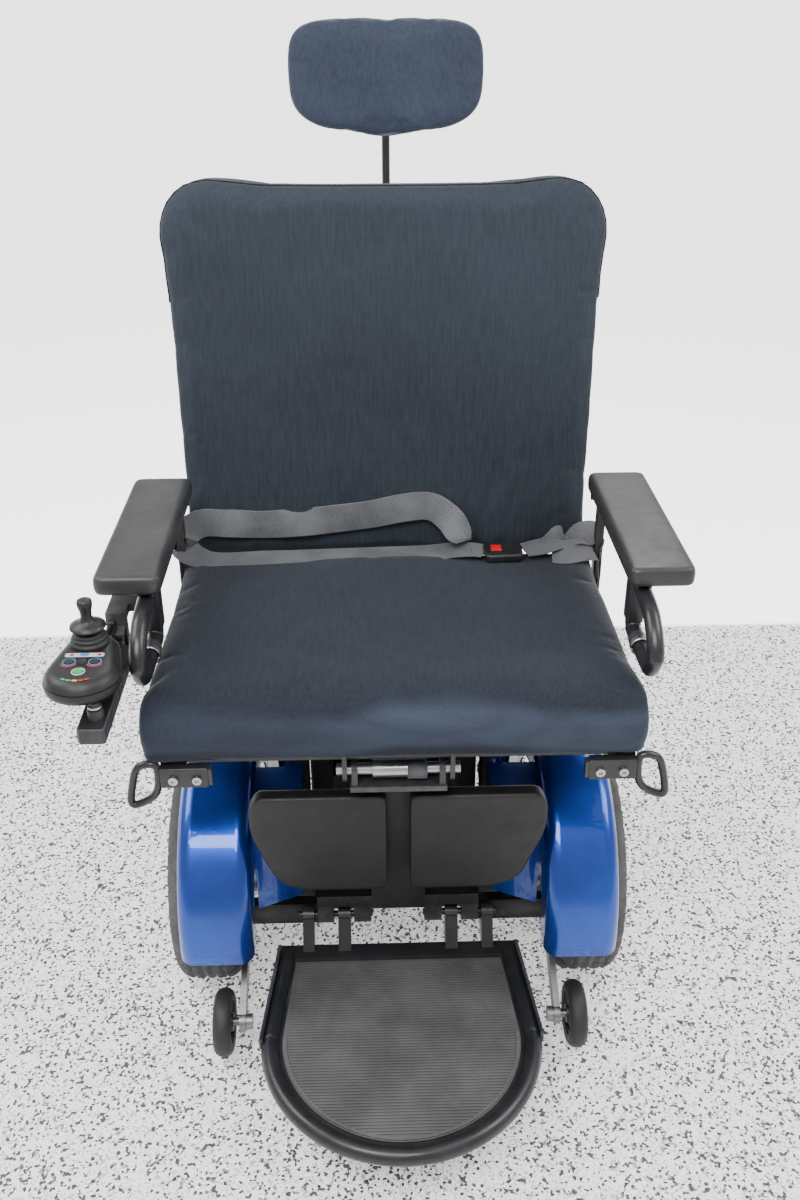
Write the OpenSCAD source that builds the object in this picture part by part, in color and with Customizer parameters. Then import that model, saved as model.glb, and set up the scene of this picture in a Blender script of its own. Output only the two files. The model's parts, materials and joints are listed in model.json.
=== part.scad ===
// Centre-wheel-drive power wheelchair with a wide seat.
// The user faces -Y. "left" and "right" are the user's own, so the right side is at -X.
// The sub-parts are modelled from the drive axle: x = 0 is the middle, y = 0 the axle, z = 0 the floor.

/* [Seat] */
// Width of the seat between the armrests
seat_w = 616; // [560:2:740]
// Depth of the seat cushion along its top
seat_d = 465; // [400:5:520]
// Height of the seat pan's top above the floor
seat_h = 520; // [505:5:620]
// Thickness of the seat cushion at its back edge
cushion_t = 78; // [50:1:110]
// Extra thickness of the seat cushion at its front edge
cushion_rise = 10; // [0:1:25]

/* [Back] */
// Width of the back cushion
back_w = 632; // [520:2:700]
// Height of the back cushion
back_cushion_h = 580; // [440:5:700]
// Thickness of the back cushion
back_t = 80; // [50:1:100]
// Lean of the backrest from upright, in degrees
back_lean = 5; // [2:0.5:10]

/* [Headrest] */
// Width of the headrest pad
head_w = 256; // [200:2:320]
// Height of the headrest pad
head_h = 141; // [100:1:170]
// Thickness of the headrest pad
head_t = 52; // [35:1:70]
// Gap between the back cushion's top and the headrest pad
head_gap = 58; // [50:1:110]

/* [Armrests] */
// Length of an arm pad
arm_pad_l = 328; // [260:2:340]
// Width of an arm pad
arm_pad_w = 86; // [60:1:100]
// Thickness of an arm pad
arm_pad_t = 28; // [18:1:35]
// Height of the arm pad's underside above the seat pan
arm_h = 182; // [165:1:260]
// Diameter of the loop's tube
loop_d = 22; // [16:1:25]

/* [Wheels] */
// Diameter of a drive tyre
wheel_d = 356; // [330:2:380]
// Width of a drive tyre
tyre_w = 94; // [70:1:100]
// Distance between the middles of the drive tyres
track = 566; // [560:2:640]
// Diameter of a rear caster
caster_d = 150; // [125:1:160]
// Width of a rear caster's tyre
caster_w = 40; // [25:1:45]
// Distance from the drive axle back to the casters' swivel axis
caster_back = 470; // [460:5:560]
// Diameter of a front anti-tip wheel
antitip_d = 96; // [75:1:110]
// Height of the anti-tip wheels off the floor
antitip_gap = 9; // [4:1:25]

/* [Foot platform] */
// Height of the platform's hinge pins above the floor
foot_hinge_z = 145; // [125:1:190]
// Radius of the platform's round front, at the middle of its tube
foot_r = 183; // [150:1:190]
// Distance from the platform's hinge pins to its tube's round front
foot_l = 368; // [330:2:400]
// Diameter of the platform's tube
foot_tube_d = 25; // [18:1:30]
// Width of a calf pad
calf_w = 188; // [120:1:190]
// Height of a calf pad
calf_h = 165; // [120:1:175]

/* [Joystick] */
// Length of the joystick housing
pod_l = 134; // [124:1:160]
// Width of the joystick housing at the stick
pod_w = 68; // [64:1:80]
// Width of the joystick housing near its front
pod_front_w = 90; // [76:1:96]
// Height of the stick's knob above the housing
knob_h = 58; // [50:1:80]

/* [Hidden] */
$fn = 48;
slip = 0.05;          // radial clearance of a shaft that turns in a bore
gap = 1;              // clearance between pieces that lie side by side
skin = 3;             // wall of the painted shells

// Wheels and drive
wheel_r = wheel_d / 2;
wheel_x = track / 2;
tyre_in = wheel_x - tyre_w / 2;
tyre_out = wheel_x + tyre_w / 2;
rim_r = wheel_r - 68;
rim_w = tyre_w - 14;
shaft_r = 10;
gear_r = 52;
gear_x0 = tyre_in - 71;
gear_x1 = tyre_in - 14;
motor_r = 41;
motor_x = gear_x0 + 23;
motor_l = 250;

// Chassis frame
rail_x = 112;
rail_w = 30;
rail_z0 = 105;
rail_z1 = 155;
rail_y0 = -40;
rail_y1 = caster_back - 40;
battery = [258, 172, 205];
battery_y = [75, 252];
battery_top = rail_z1 + battery[2];
tower_x = 137;
tower_t = 10;
tower_y = [20, 222];
tower_w = 40;
tower_foot = rail_x + rail_w / 2 + 7.5;

// Fenders
fender_in = tyre_in - 29;
fender_out = tyre_out - 18;
fender_r = wheel_r + 27;
fender_deep = 55;
fender_from = 112;    // degrees from straight down, past the back
fender_sweep = 163;
shoulder_r = 22;
wing_in = 140;
wing_y = -104;
wing_top = wheel_r + 160;

// Anti-tip wheels
antitip_r = antitip_d / 2;
antitip_y = -214;
antitip_z = antitip_r + antitip_gap;
antitip_w = 26;
antitip_pivot = [-68, 132];
antitip_arm_x = tyre_in - 7.5;
antitip_arm_t = 9;
antitip_x = tyre_in + 19;

// Casters
caster_r = caster_d / 2;
caster_x = 240;
caster_trail = 38;
stem_r = 10;
fork_top = caster_d + 10;
beam_z0 = fork_top + 16;
beam_h = 35;
beam_pin_r = 8;
beam_pin_z = beam_z0 + beam_h / 2;

// Seat frame
pan_t = 3;
seat_rail_h = 30;
seat_rail_w = 26;
seat_rail_x = seat_w / 2 - 18;
seat_z0 = seat_h - pan_t - seat_rail_h;
seat_z1 = seat_h - pan_t;
seat_y1 = 240;
seat_y0 = seat_y1 - seat_d;
cross_y = [-165, 40, 205];
cushion_r = 46;
cushion_z = seat_h;
cushion_top = cushion_z + cushion_t;

// Backrest, in its own frame: +Z along the back from the hinge
back_y = 300;
back_z = seat_h - 20;
back_front = -58;
back_z0 = 60;
back_z1 = back_z0 + back_cushion_h;
back_r = 80;
shell_t = 6;
cane_x = 250;
cane_r = 11;
cane_y = back_front + back_t + shell_t + cane_r;
head_post_r = 6;
head_post_y = cane_y + 6;
head_z0 = back_z1 + head_gap;
head_zc = head_z0 + head_h / 2;
head_back = head_post_y - 46;

// Armrests
arm_in = seat_w / 2 - 10;
arm_x = seat_w / 2 + 3 + loop_d / 2;
arm_z0 = seat_h + arm_h;
arm_y1 = 222;
arm_y0 = arm_y1 - arm_pad_l;
bar_w = 22;
bar_h = 18;
bar_z = arm_z0 - bar_h;
arm_pivot = [arm_y1 - 12, arm_z0 - 9];
loop_z = cushion_top + 4;
loop_top = arm_z0 - loop_d / 2 - 1;
upright_y = arm_y0 + 60;
arm_pin_r = 6;
post_w = 17;

// Foot platform and its mast
pin_y = -165;
pin_z = seat_z0 - 16;
pin_r = 8;
mast_w = 78;
mast_front = -130;
mast_d = 20;
mast_z0 = foot_hinge_z + 45;
shelf_z = pin_z - 26;
lug_x = 54;
clevis_x = 68;
foot_y = -92;
foot_pin_r = 5;
foot_tube_r = foot_tube_d / 2;
foot_z = foot_hinge_z - 57;
foot_front = foot_y - foot_l;
foot_arc_y = foot_front + foot_r;
foot_back = foot_y - 20;
foot_back_x = foot_r - 3;
block_x = [96, 120];
lug_out_x = [126, 143];
lug_in_x = [71, 90];
mast_lug_x = [40, 66];
calf_front = -165;
calf_t = 25;
calf_x0 = 16;
calf_z1 = shelf_z - 18;
calf_pin = [52, -118];
calf_pin_r = 5;
calf_lug_z = calf_z1 - 95;

// Joystick
pod_x = -(arm_x + loop_d / 2 + 3 + pod_w / 2);
pod_z0 = arm_z0 - 40;
pod_h = 30;
pod_z1 = pod_z0 + pod_h;
pod_rear_r = pod_w / 2;
pod_front_r = pod_front_w / 2;
stick_y = arm_y0 - 90;
pod_front_y = stick_y + pod_rear_r - pod_l + pod_front_r;
swing_x = pod_x + 6;
swing_mid = pod_x + 16;
swing_y = arm_y0 + 8;
swing_z0 = pod_z0 - 41;
swing_h = 21;
swing_w = 32;
swing_pin_r = 5;
stick_z = pod_z1 - 6;
stick_r = 3;
cable_r = 3;

// The overall box, used to put the origin in the middle of the underside
box_x0 = pod_x - pod_front_r;
box_x1 = arm_in + arm_pad_w;
box_y0 = foot_front - foot_tube_r;
box_y1 = caster_back + caster_trail + caster_r;

// ---------- Shared shapes ----------

module place() translate([-(box_x0 + box_x1) / 2, -(box_y0 + box_y1) / 2, 0]) children();
module right() mirror([1, 0, 0]) children();

// A box from its lowest to its highest corner
module block(low, high) translate(low) cube(high - low);

// A cylinder along X from x0 to x1, centred on [y, z]
module rod_x(x0, x1, at, r) translate([x0, at[0], at[1]]) rotate([0, 90, 0]) cylinder(h = x1 - x0, r = r);

// A cylinder along Y from y0 to y1, centred on [x, z]
module rod_y(y0, y1, at, r) translate([at[0], y0, at[1]]) rotate([-90, 0, 0]) cylinder(h = y1 - y0, r = r);

// A cylinder between two points
module rod(a, b, r) {
    d = b - a;
    translate(a) rotate([0, acos(d[2] / norm(d)), atan2(d[1], d[0])]) cylinder(h = norm(d), r = r);
}

// A flat rectangle with round corners, from [0, 0]
module round_rect(w, h, r) {
    translate([r, 0]) square([w - 2 * r, h]);
    translate([0, r]) square([w, h - 2 * r]);
    for (x = [r, w - r], y = [r, h - r]) translate([x, y]) circle(r);
}

// A side view drawn in [y, z], given thickness along X
module side_plate(x0, x1) translate([x0, 0, 0]) rotate([90, 0, 90]) linear_extrude(x1 - x0) children();

// A front view drawn in [x, z], given thickness along Y
module front_plate(y0, y1) translate([0, y1, 0]) rotate([90, 0, 0]) linear_extrude(y1 - y0) children();

// A profile drawn as [radius, x], turned about the X axis through [y, z]
module turned_x(at) translate([0, at[0], at[1]]) rotate([0, 90, 0]) rotate_extrude($fn = 96) children();

function unit(v) = v / norm(v);

// A round tube along a path in [y, z], at the height x
module bent_tube(x, p, r) {
    for (i = [0 : len(p) - 2]) rod([x, p[i][0], p[i][1]], [x, p[i + 1][0], p[i + 1][1]], r);
    for (i = [1 : len(p) - 2]) translate([x, p[i][0], p[i][1]]) sphere(r + 0.3);
}

// The outline of a strap of thickness t that follows a path
module ribbon(p, t) for (i = [0 : len(p) - 2]) {
    d = p[i + 1] - p[i];
    translate(p[i]) rotate(atan2(d[1], d[0])) translate([-t / 2, -t / 2]) square([norm(d) + t, t]);
}

// ---------- Chassis ----------

module base_frame() color("dimgray") {
    for (s = [-1, 1])
        block([s * rail_x - rail_w / 2, rail_y0, rail_z0], [s * rail_x + rail_w / 2, rail_y1, rail_z1]);
    cross = [[rail_y0, rail_y0 + 30], [165, 195], [rail_y1 - 30, rail_y1]];
    for (y = cross)
        block([-rail_x, y[0], rail_z0], [rail_x, y[1], rail_z1 - 5]);
    // Mounts of the gearmotors
    for (s = [0, 1]) mirror([s, 0, 0])
        block([rail_x, -30, rail_z0 + 15], [gear_x0, tower_y[0] - gap, rail_z1 - 5]);
    // Outriggers and pins that carry the anti-tip arms
    for (s = [0, 1]) mirror([s, 0, 0]) {
        block([rail_x - 12, -76, 112], [antitip_arm_x - 7, -58, 150]);
        block([rail_x - 12, -60, 112], [rail_x + 12, rail_y0 + 2, 150]);
        rod_x(antitip_arm_x - 12, antitip_arm_x + 5, antitip_pivot, 8);
    }
    // Rear bracket and pin of the caster beam
    block([-32, rail_y1, rail_z0], [32, rail_y1 + 12, beam_pin_z + 24]);
    rod_y(rail_y1 + 6, caster_back + 24, [0, beam_pin_z], beam_pin_r);
    // Docking plate under the front, with four holes
    difference() {
        block([-90, rail_y0 + 30, rail_z0], [90, rail_y0 + 110, rail_z0 + 6]);
        for (x = [-60, 60], y = [rail_y0 + 50, rail_y0 + 90])
            translate([x, y, rail_z0 - 1]) cylinder(h = 8, r = 5.25);
    }
}

module batteries() for (y = battery_y) {
    color("black") block([-battery[0] / 2, y, rail_z1], [battery[0] / 2, y + battery[1], battery_top - 12]);
    color("dimgray") block([-battery[0] / 2 + 6, y + 6, battery_top - 12],
        [battery[0] / 2 - 6, y + battery[1] - 6, battery_top - 6]);
    for (s = [-1, 1])
        color("gray") translate([s * 95, y + 35, battery_top - 6]) cylinder(h = 6, r = 7);
}

module control_module() color("black") difference() {
    block([-95, 18, rail_z1 + 45], [95, 66, rail_z1 + 165]);
    for (i = [-7 : 7]) block([i * 12 - 2, 12, rail_z1 + 60], [i * 12 + 2, 24, rail_z1 + 150]);
    for (s = [-1, 1]) translate([s * 60, 42, rail_z1 + 155]) cylinder(h = 12, r = 9);
}

shroud_x = motor_x - 3;
shroud_y0 = 69;
shroud_y1 = caster_back - 31;
shroud_z0 = max(wheel_r + motor_r + 15, beam_pin_z + 24 + gap);
shroud_z1 = battery_top + 22;
shroud_r = 26;

module shroud_outline(inset) translate([-shroud_x + inset, shroud_y0 + inset])
    round_rect(2 * (shroud_x - inset), shroud_y1 - shroud_y0 - 2 * inset, shroud_r - inset);

module body_shroud() color("mediumblue") difference() {
    translate([0, 0, shroud_z0]) linear_extrude(shroud_z1 - shroud_z0) shroud_outline(0);
    translate([0, 0, shroud_z0 - 1]) linear_extrude(shroud_z1 - skin - shroud_z0 + 1) shroud_outline(skin);
    // Slots that the seat tower stands in
    for (s = [-1, 1], y = tower_y)
        block([s * tower_x - tower_t / 2 - gap, y - gap, shroud_z1 - 10],
            [s * tower_x + tower_t / 2 + gap, y + tower_w + gap, shroud_z1 + 1]);
    // Open front, above the control module
    block([-wing_in, shroud_y0 - 1, shroud_z0 - 2], [wing_in, shroud_y0 + skin + 1, shroud_z1 - 30]);
}

module fender_section(inset) translate([wheel_r - 28 - inset * 2, fender_in + inset])
    round_rect(55 + inset, fender_out - fender_in - 2 * inset, shoulder_r - inset);

module fender_left() color("mediumblue") {
    // The arch over the tyre, with an inner skirt and a short outer lip
    translate([0, 0, wheel_r]) rotate([0, 90, 0]) rotate([0, 0, fender_from])
        rotate_extrude(angle = fender_sweep, $fn = 120) difference() {
            union() {
                translate([fender_r - 2 * shoulder_r, fender_in])
                    round_rect(2 * shoulder_r, fender_out - fender_in, shoulder_r - 0.5);
                translate([fender_r - fender_deep, fender_in]) square([fender_deep - shoulder_r, skin]);
                translate([fender_r - shoulder_r - 1, fender_in]) square([2, skin]);
            }
            translate([fender_r - 2 * shoulder_r - skin, fender_in + skin])
                round_rect(2 * shoulder_r, fender_out - fender_in - 2 * skin, shoulder_r - 0.5 - skin);
            translate([fender_r - 2 * shoulder_r - 1, fender_in + skin])
                square([shoulder_r, fender_out - fender_in]);
        }
    // The wing that reaches inwards in front of the gearmotor
    difference() {
        union() {
            front_plate(wing_y, wing_y + skin)
                polygon([[wing_in, wheel_r + 19], [fender_in, wheel_r - 8], [fender_in, wing_top],
                    [wing_in, wing_top]]);
            block([wing_in, wing_y, wing_top - skin], [fender_in, tower_y[0], wing_top]);
            block([wing_in, wing_y, wheel_r + 60], [wing_in + skin, 12, wing_top]);
            block([fender_in - skin + 1, wing_y, wheel_r + 52], [fender_in + 1, 12, wing_top]);
        }
        rod_x(wing_in - 1, tyre_in, [0, wheel_r], gear_r + 4);
    }
}

module gearmotor_left() {
    color("silver") {
        rod_x(gear_x0, gear_x1, [0, wheel_r], gear_r);
        block([gear_x0 + 6, 10, wheel_r - 36], [gear_x1 - 6, 62, wheel_r + 36]);
    }
    color("black") {
        rod_y(55, motor_l - 30, [motor_x, wheel_r], motor_r);
        rod_y(motor_l - 30, motor_l, [motor_x, wheel_r], motor_r - 6);
    }
    color("gainsboro") rod_x(gear_x1 - 2, wheel_x + 18, [0, wheel_r], shaft_r);
    // Pin of the freewheel lever
    color("silver") translate([motor_x, 36, wheel_r + 34]) cylinder(h = 22, r = 4);
}

lever_z = wheel_r + 46;

module freewheel_lever_left() color("red") difference() {
    union() {
        translate([motor_x, 36, lever_z]) cylinder(h = 8, r = 9);
        block([motor_x - 6, 36, lever_z + 1], [motor_x + 6, 84, lever_z + 7]);
        translate([motor_x, 84, lever_z + 1]) cylinder(h = 6, r = 8);
    }
    translate([motor_x, 36, lever_z - 1]) cylinder(h = 12, r = 4 + slip);
}

module seat_tower() color("black") {
    for (s = [-1, 1]) {
        for (y = tower_y)
            block([s * tower_x - tower_t / 2, y, rail_z0 + 8],
                [s * tower_x + tower_t / 2, y + tower_w, seat_z0 - 28]);
        block([s * tower_x - 15, tower_y[0] - 30, seat_z0 - 32],
            [s * tower_x + 15, tower_y[1] + tower_w + 10, seat_z0]);
        for (y = tower_y)
            block([s * tower_foot - 7.5, y, rail_z0 + 8],
                [s * tower_foot + 7.5, y + tower_w, rail_z0 + 36]);
    }
    // Strut that the shroud's top rests on
    block([-tower_x, tower_y[1] + 12, shroud_z1 - skin - 10], [tower_x, tower_y[1] + 28, shroud_z1 - skin]);
    block([-tower_x, tower_y[1] + 5, seat_z0 - 30], [tower_x, tower_y[1] + 35, seat_z0 - 6]);
    block([-tower_x, tower_y[0] - 25, seat_z0 - 30], [tower_x, tower_y[0] + 5, seat_z0 - 6]);
}

// ---------- Drive wheels ----------

module drive_tyre_left() color("dimgray") turned_x([0, wheel_r]) translate([0, wheel_x]) difference() {
    union() {
        translate([rim_r, -tyre_w / 2 + 8]) square([20, tyre_w - 16]);
        translate([rim_r + 12, -tyre_w / 2]) round_rect(wheel_r - rim_r - 12, tyre_w, 24);
    }
    for (y = [-22, 0, 22]) translate([wheel_r - 4, y - 2]) square([6, 4]);
}

module drive_rim_left() color("silver") difference() {
    union() {
        turned_x([0, wheel_r]) translate([0, wheel_x]) {
            translate([rim_r - 10, -rim_w / 2]) square([10, rim_w]);
            translate([26, 14]) square([rim_r - 30, 8]);
            translate([shaft_r + slip, -22]) square([18, 48]);
            translate([26, -22]) square([4, 38]);
            // Hub cap over the shaft's end
            translate([0, 22]) square([26, 6]);
        }
        for (a = [0 : 72 : 288]) translate([0, 0, wheel_r]) rotate([a, 0, 0])
            block([wheel_x + 8, -6, 28], [wheel_x + 20, 6, rim_r - 6]);
    }
    for (a = [36 : 72 : 324]) translate([wheel_x, 0, wheel_r]) rotate([a, 0, 0])
        translate([0, 0, rim_r * 0.62]) rotate([0, 90, 0]) cylinder(h = 40, r = 17);
}

// ---------- Casters ----------

module caster_beam() color("black") difference() {
    union() {
        block([-caster_x, caster_back - 20, beam_z0], [caster_x, caster_back + 20, beam_z0 + beam_h]);
        for (s = [-1, 1]) translate([s * caster_x, caster_back, beam_z0 - 6])
            cylinder(h = beam_h + 14, r = 24);
        rod_y(caster_back - 26, caster_back + 22, [0, beam_pin_z], 21);
    }
    for (s = [-1, 1]) translate([s * caster_x, caster_back, beam_z0 - 10])
        cylinder(h = beam_h + 30, r = stem_r + slip);
    rod_y(caster_back - 40, caster_back + 40, [0, beam_pin_z], beam_pin_r + slip);
}

module caster_fork_left() color("black") {
    axle = [caster_back + caster_trail, caster_r];
    translate([caster_x, caster_back, fork_top - 4])
        cylinder(h = beam_z0 + beam_h + 14 - fork_top, r = stem_r);
    translate([caster_x, caster_back, beam_z0 + beam_h + 9]) cylinder(h = 6, r = 15);
    block([caster_x - caster_w / 2 - 10, caster_back - 20, fork_top - 6],
        [caster_x + caster_w / 2 + 10, caster_back + 26, fork_top]);
    for (s = [-1, 1]) {
        x0 = caster_x + s * (caster_w / 2 + 7) - 3;
        side_plate(x0, x0 + 6) {
            polygon([[caster_back - 18, fork_top - 2], [caster_back + 24, fork_top - 2],
                [axle[0] + 13, axle[1]], [axle[0] - 13, axle[1]]]);
            translate(axle) circle(14);
        }
    }
    rod_x(caster_x - caster_w / 2 - 12, caster_x + caster_w / 2 + 12, axle, 6);
}

module caster_tyre_left() color("dimgray")
    turned_x([caster_back + caster_trail, caster_r]) translate([caster_r - 24, caster_x - caster_w / 2])
        round_rect(24, caster_w, 10);

module caster_hub_left() color("silver")
    turned_x([caster_back + caster_trail, caster_r]) translate([0, caster_x]) {
        translate([6 + slip, -caster_w / 2 + 1]) square([9, caster_w - 2]);
        translate([14, -4]) square([caster_r - 24 - 14, 8]);
        translate([caster_r - 30, -caster_w / 2 + 6]) square([6, caster_w - 12]);
    }

// ---------- Anti-tip wheels ----------

module antitip_arm_left() color("silver") difference() {
    union() {
        side_plate(antitip_arm_x - antitip_arm_t / 2, antitip_arm_x + antitip_arm_t / 2) {
            polygon([antitip_pivot + [-4, 14], [antitip_y - 2, antitip_z + 13],
                [antitip_y + 2, antitip_z - 13], antitip_pivot + [4, -14]]);
            translate(antitip_pivot) circle(15);
            translate([antitip_y, antitip_z]) circle(14);
        }
        rod_x(antitip_arm_x, antitip_x + antitip_w / 2 + 4, [antitip_y, antitip_z], 6);
        rod_x(antitip_arm_x - 14, antitip_arm_x, [antitip_y, antitip_z], 11);
    }
    rod_x(antitip_arm_x - 6, antitip_arm_x + 6, antitip_pivot, 8 + slip);
}

module antitip_wheel_left() color("black") turned_x([antitip_y, antitip_z])
    translate([0, antitip_x - antitip_w / 2]) {
    translate([antitip_r - 16, 0]) round_rect(16, antitip_w, 7.5);
    translate([6 + slip, 3]) square([antitip_r - 14 - 6, antitip_w - 6]);
}

// ---------- Seat ----------

module seat_frame() color("black") difference() {
    union() {
        for (s = [-1, 1])
            block([s * seat_rail_x - seat_rail_w / 2, seat_y0 + 20, seat_z0],
                [s * seat_rail_x + seat_rail_w / 2, seat_y1, seat_z1]);
        for (y = cross_y)
            block([-seat_rail_x, y, seat_z0], [seat_rail_x, y + 30, seat_z1]);
        // Clevis plates that hold the foot mast's pin
        for (s = [-1, 1])
            side_plate(s * (clevis_x + 3) - 3, s * (clevis_x + 3) + 3) {
                translate([pin_y, pin_z]) circle(16);
                translate([pin_y - 16, pin_z]) square([48, seat_z1 - pin_z]);
            }
        // Posts that the armrests hinge on
        for (s = [0, 1]) mirror([s, 0, 0]) {
            block([seat_rail_x, arm_pivot[0] - post_w / 2, seat_z0 + 4],
                [arm_x + bar_w / 2 + 2, arm_pivot[0] + post_w / 2, seat_z0 + 12]);
            block([arm_x - 6, arm_pivot[0] - post_w / 2, seat_z0 + 4],
                [arm_x + 6, arm_pivot[0] + post_w / 2, arm_pivot[1]]);
            rod_x(arm_x - 6, arm_x + 6, arm_pivot, 8);
            rod_x(arm_x - bar_w / 2 - 6, arm_x + bar_w / 2 + 6, arm_pivot, arm_pin_r);
        }
        // Brackets and pins that the backrest hinges on
        for (s = [0, 1]) mirror([s, 0, 0]) {
            block([cane_x - 17, seat_y1 - 30, seat_z0], [cane_x - 8, back_y, seat_z1 - 2]);
            rod_x(cane_x - 17, cane_x - 8, [back_y, back_z], 16);
            rod_x(cane_x - 12, cane_x + 14, [back_y, back_z], 7);
        }
    }
    // Bores of the foot mast's pin
    rod_x(-clevis_x - 20, clevis_x + 20, [pin_y, pin_z], pin_r + slip);
    // Accessory holes through the rear cross tube
    for (s = [-1, 1]) rod_y(cross_y[2] - 1, cross_y[2] + 31, [s * 50, seat_z0 + 15], 4.25);
}

module seat_pan() color("dimgray")
    translate([-seat_rail_x - 12, seat_y0 + 24, seat_z1]) linear_extrude(pan_t)
        round_rect(2 * seat_rail_x + 24, seat_d - 28, 8);

module cushion_side() {
    top_front = cushion_top + cushion_rise;
    nose = seat_y0 - 8;
    difference() {
        union() {
            polygon([[seat_y0 + 22, cushion_z], [seat_y1 - 10, cushion_z], [seat_y1, cushion_z + 10],
                [seat_y1, cushion_top - 12], [seat_y1 - 12, cushion_top],
                [nose + cushion_r, top_front], [nose + cushion_r, cushion_z + 20]]);
            translate([nose + cushion_r, top_front - cushion_r]) circle(cushion_r);
        }
        translate([seat_y0 - 60, cushion_z - 60]) square([400, 60]);
    }
}

module seat_cushion() color("darkslategray") side_plate(-seat_w / 2, seat_w / 2) cushion_side();

tie_y = seat_y0 + 20;
tie_x = seat_rail_x + seat_rail_w / 2;

tie_bolts = [seat_rail_x - 34, seat_rail_x - 4];

module tie_down_left() color("dimgray") {
    difference() {
        block([seat_rail_x - 48, tie_y - 14, seat_z0], [tie_x, tie_y, seat_z1]);
        for (x = tie_bolts) rod_y(tie_y - 20, tie_y + 2, [x, seat_z0 + 13], 4.25);
    }
    // The ring, a plate with a five-sided hole
    difference() {
        front_plate(tie_y - 12, tie_y - 2)
            polygon([[tie_x - 2, seat_z1 - 2], [tie_x - 2, seat_z0 - 14], [tie_x + 6, seat_z0 - 24],
                [tie_x + 38, seat_z0 - 38], [tie_x + 46, seat_z0 - 30], [tie_x + 38, seat_z1 - 8],
                [tie_x + 18, seat_z1 + 8], [tie_x + 6, seat_z1 + 8]]);
        front_plate(tie_y - 14, tie_y)
            polygon([[tie_x + 8, seat_z0 + 8], [tie_x + 12, seat_z0 - 10], [tie_x + 34, seat_z0 - 22],
                [tie_x + 28, seat_z1 - 12], [tie_x + 16, seat_z1 - 2], [tie_x + 8, seat_z1 - 4]]);
    }
}

module tie_down_bolts() color("black") for (s = [0, 1], x = tie_bolts) mirror([s, 0, 0]) difference() {
    union() {
        rod_y(tie_y - 18, tie_y - 14, [x, seat_z0 + 13], 6);
        rod_y(tie_y - 15, tie_y - 0.5, [x, seat_z0 + 13], 4);
    }
    front_plate(tie_y - 20, tie_y - 16) translate([x, seat_z0 + 13]) circle(3, $fn = 6);
}

// Lap belt, which lies on the cushion and leans up against the backrest
belt_w = 44;
belt_t = 2;
belt_y = seat_y1 - 30;
belt_z = cushion_top + 3;
belt_side = seat_w / 2 + 4;
belt_rail = tie_x + belt_t / 2 + 0.5;
belt_lean_y = seat_y1 - 1;

// The end that runs up from the seat rail, at y0 to y0 + belt_w
module belt_riser(s, top) front_plate(belt_y - belt_w / 2 + 2, belt_y + belt_w / 2 + 2)
    ribbon([[s * belt_rail, seat_z1 - 6], [s * belt_side, seat_z1 + 8], [s * belt_side, cushion_top - 10],
        [s * (belt_side - 4), top], [s * (belt_side - 14), top + 6],
        [s * (belt_side - 34), top + 4]], belt_t);

module belt_straps() color("dimgray") {
    // Right strap
    belt_riser(-1, belt_z + 6);
    // Long run against the backrest
    translate([0, 0, belt_z + 1]) linear_extrude(belt_w)
        ribbon([[-belt_side + 16, belt_y + 10], [-270, belt_lean_y - 8], [-220, belt_lean_y - 2],
            [-97, belt_lean_y], [10, belt_lean_y - 2], [72, belt_lean_y - 8], [96, belt_y + 6], [106, belt_y - 10]], belt_t);
    // Tail that doubles back along the seat, and the tongue
    front_plate(belt_y - belt_w - 4, belt_y - 4)
        ribbon([[-belt_side + 30, belt_z + 3], [-220, belt_z], [10, belt_z], [80, belt_z + 2],
            [100, belt_z + 8],
            [buckle_x - 1, belt_z + 8]], belt_t);
    // Left strap
    belt_riser(1, belt_z + 4);
    front_plate(belt_y - 40, belt_y + 4)
        ribbon([[belt_side - 30, belt_z + 8], [262, belt_z + 12], [232, belt_z + 6],
            [buckle_x + 65, belt_z + 8]], belt_t);
}

buckle_x = 141;
buckle_z = belt_z + 1;
buckle_y = belt_y - 20;

module belt_buckle() color("black") difference() {
    translate([buckle_x, buckle_y - 26, buckle_z]) linear_extrude(16) round_rect(64, 52, 8);
    block([buckle_x + 9.6, buckle_y - 10.4, buckle_z + 9],
        [buckle_x + 28.4, buckle_y + 10.4, buckle_z + 20]);
}

module buckle_button() color("red")
    block([buckle_x + 10, buckle_y - 10, buckle_z + 12], [buckle_x + 28, buckle_y + 10, buckle_z + 17]);

// ---------- Backrest and headrest ----------

module on_back() translate([0, back_y, back_z]) rotate([-back_lean, 0, 0]) children();

module back_frame() color("black") on_back() difference() {
    union() {
        for (s = [0, 1]) mirror([s, 0, 0]) {
            translate([cane_x, cane_y, 40]) cylinder(h = back_z1 - 70, r = cane_r);
            side_plate(cane_x - 6, cane_x + 6) {
                circle(15);
                polygon([[-11, 0], [11, 0], [cane_y + 10, 40], [cane_y + 10, 70], [cane_y - 10, 70],
                    [cane_y - 10, 44]]);
            }
        }
        for (z = [150, back_z1 - 60]) rod_x(-cane_x, cane_x, [cane_y, z], cane_r - 2);
        // Clamp of the headrest's post
        block([-18, cane_y - 8, back_z1 - 90], [18, head_post_y + 14, back_z1 - 40]);
    }
    translate([0, head_post_y, back_z1 - 100]) cylinder(h = 80, r = head_post_r + slip);
    for (s = [0, 1]) mirror([s, 0, 0]) rod_x(cane_x - 10, cane_x + 10, [0, 0], 7 + slip);
}

module back_shell() color("black") on_back()
    front_plate(back_front + back_t, back_front + back_t + shell_t)
        translate([-back_w / 2 + 24, back_z0 + 20])
            round_rect(back_w - 48, back_cushion_h - 50, back_r - 24);

module back_cushion() color("darkslategray") on_back()
    front_plate(back_front, back_front + back_t) union() {
        translate([-back_w / 2, back_z0 + 30]) round_rect(back_w, back_cushion_h - 30, back_r);
        translate([-back_w / 2 + 12, back_z0]) round_rect(back_w - 24, back_cushion_h / 2, 34);
    }

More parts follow.
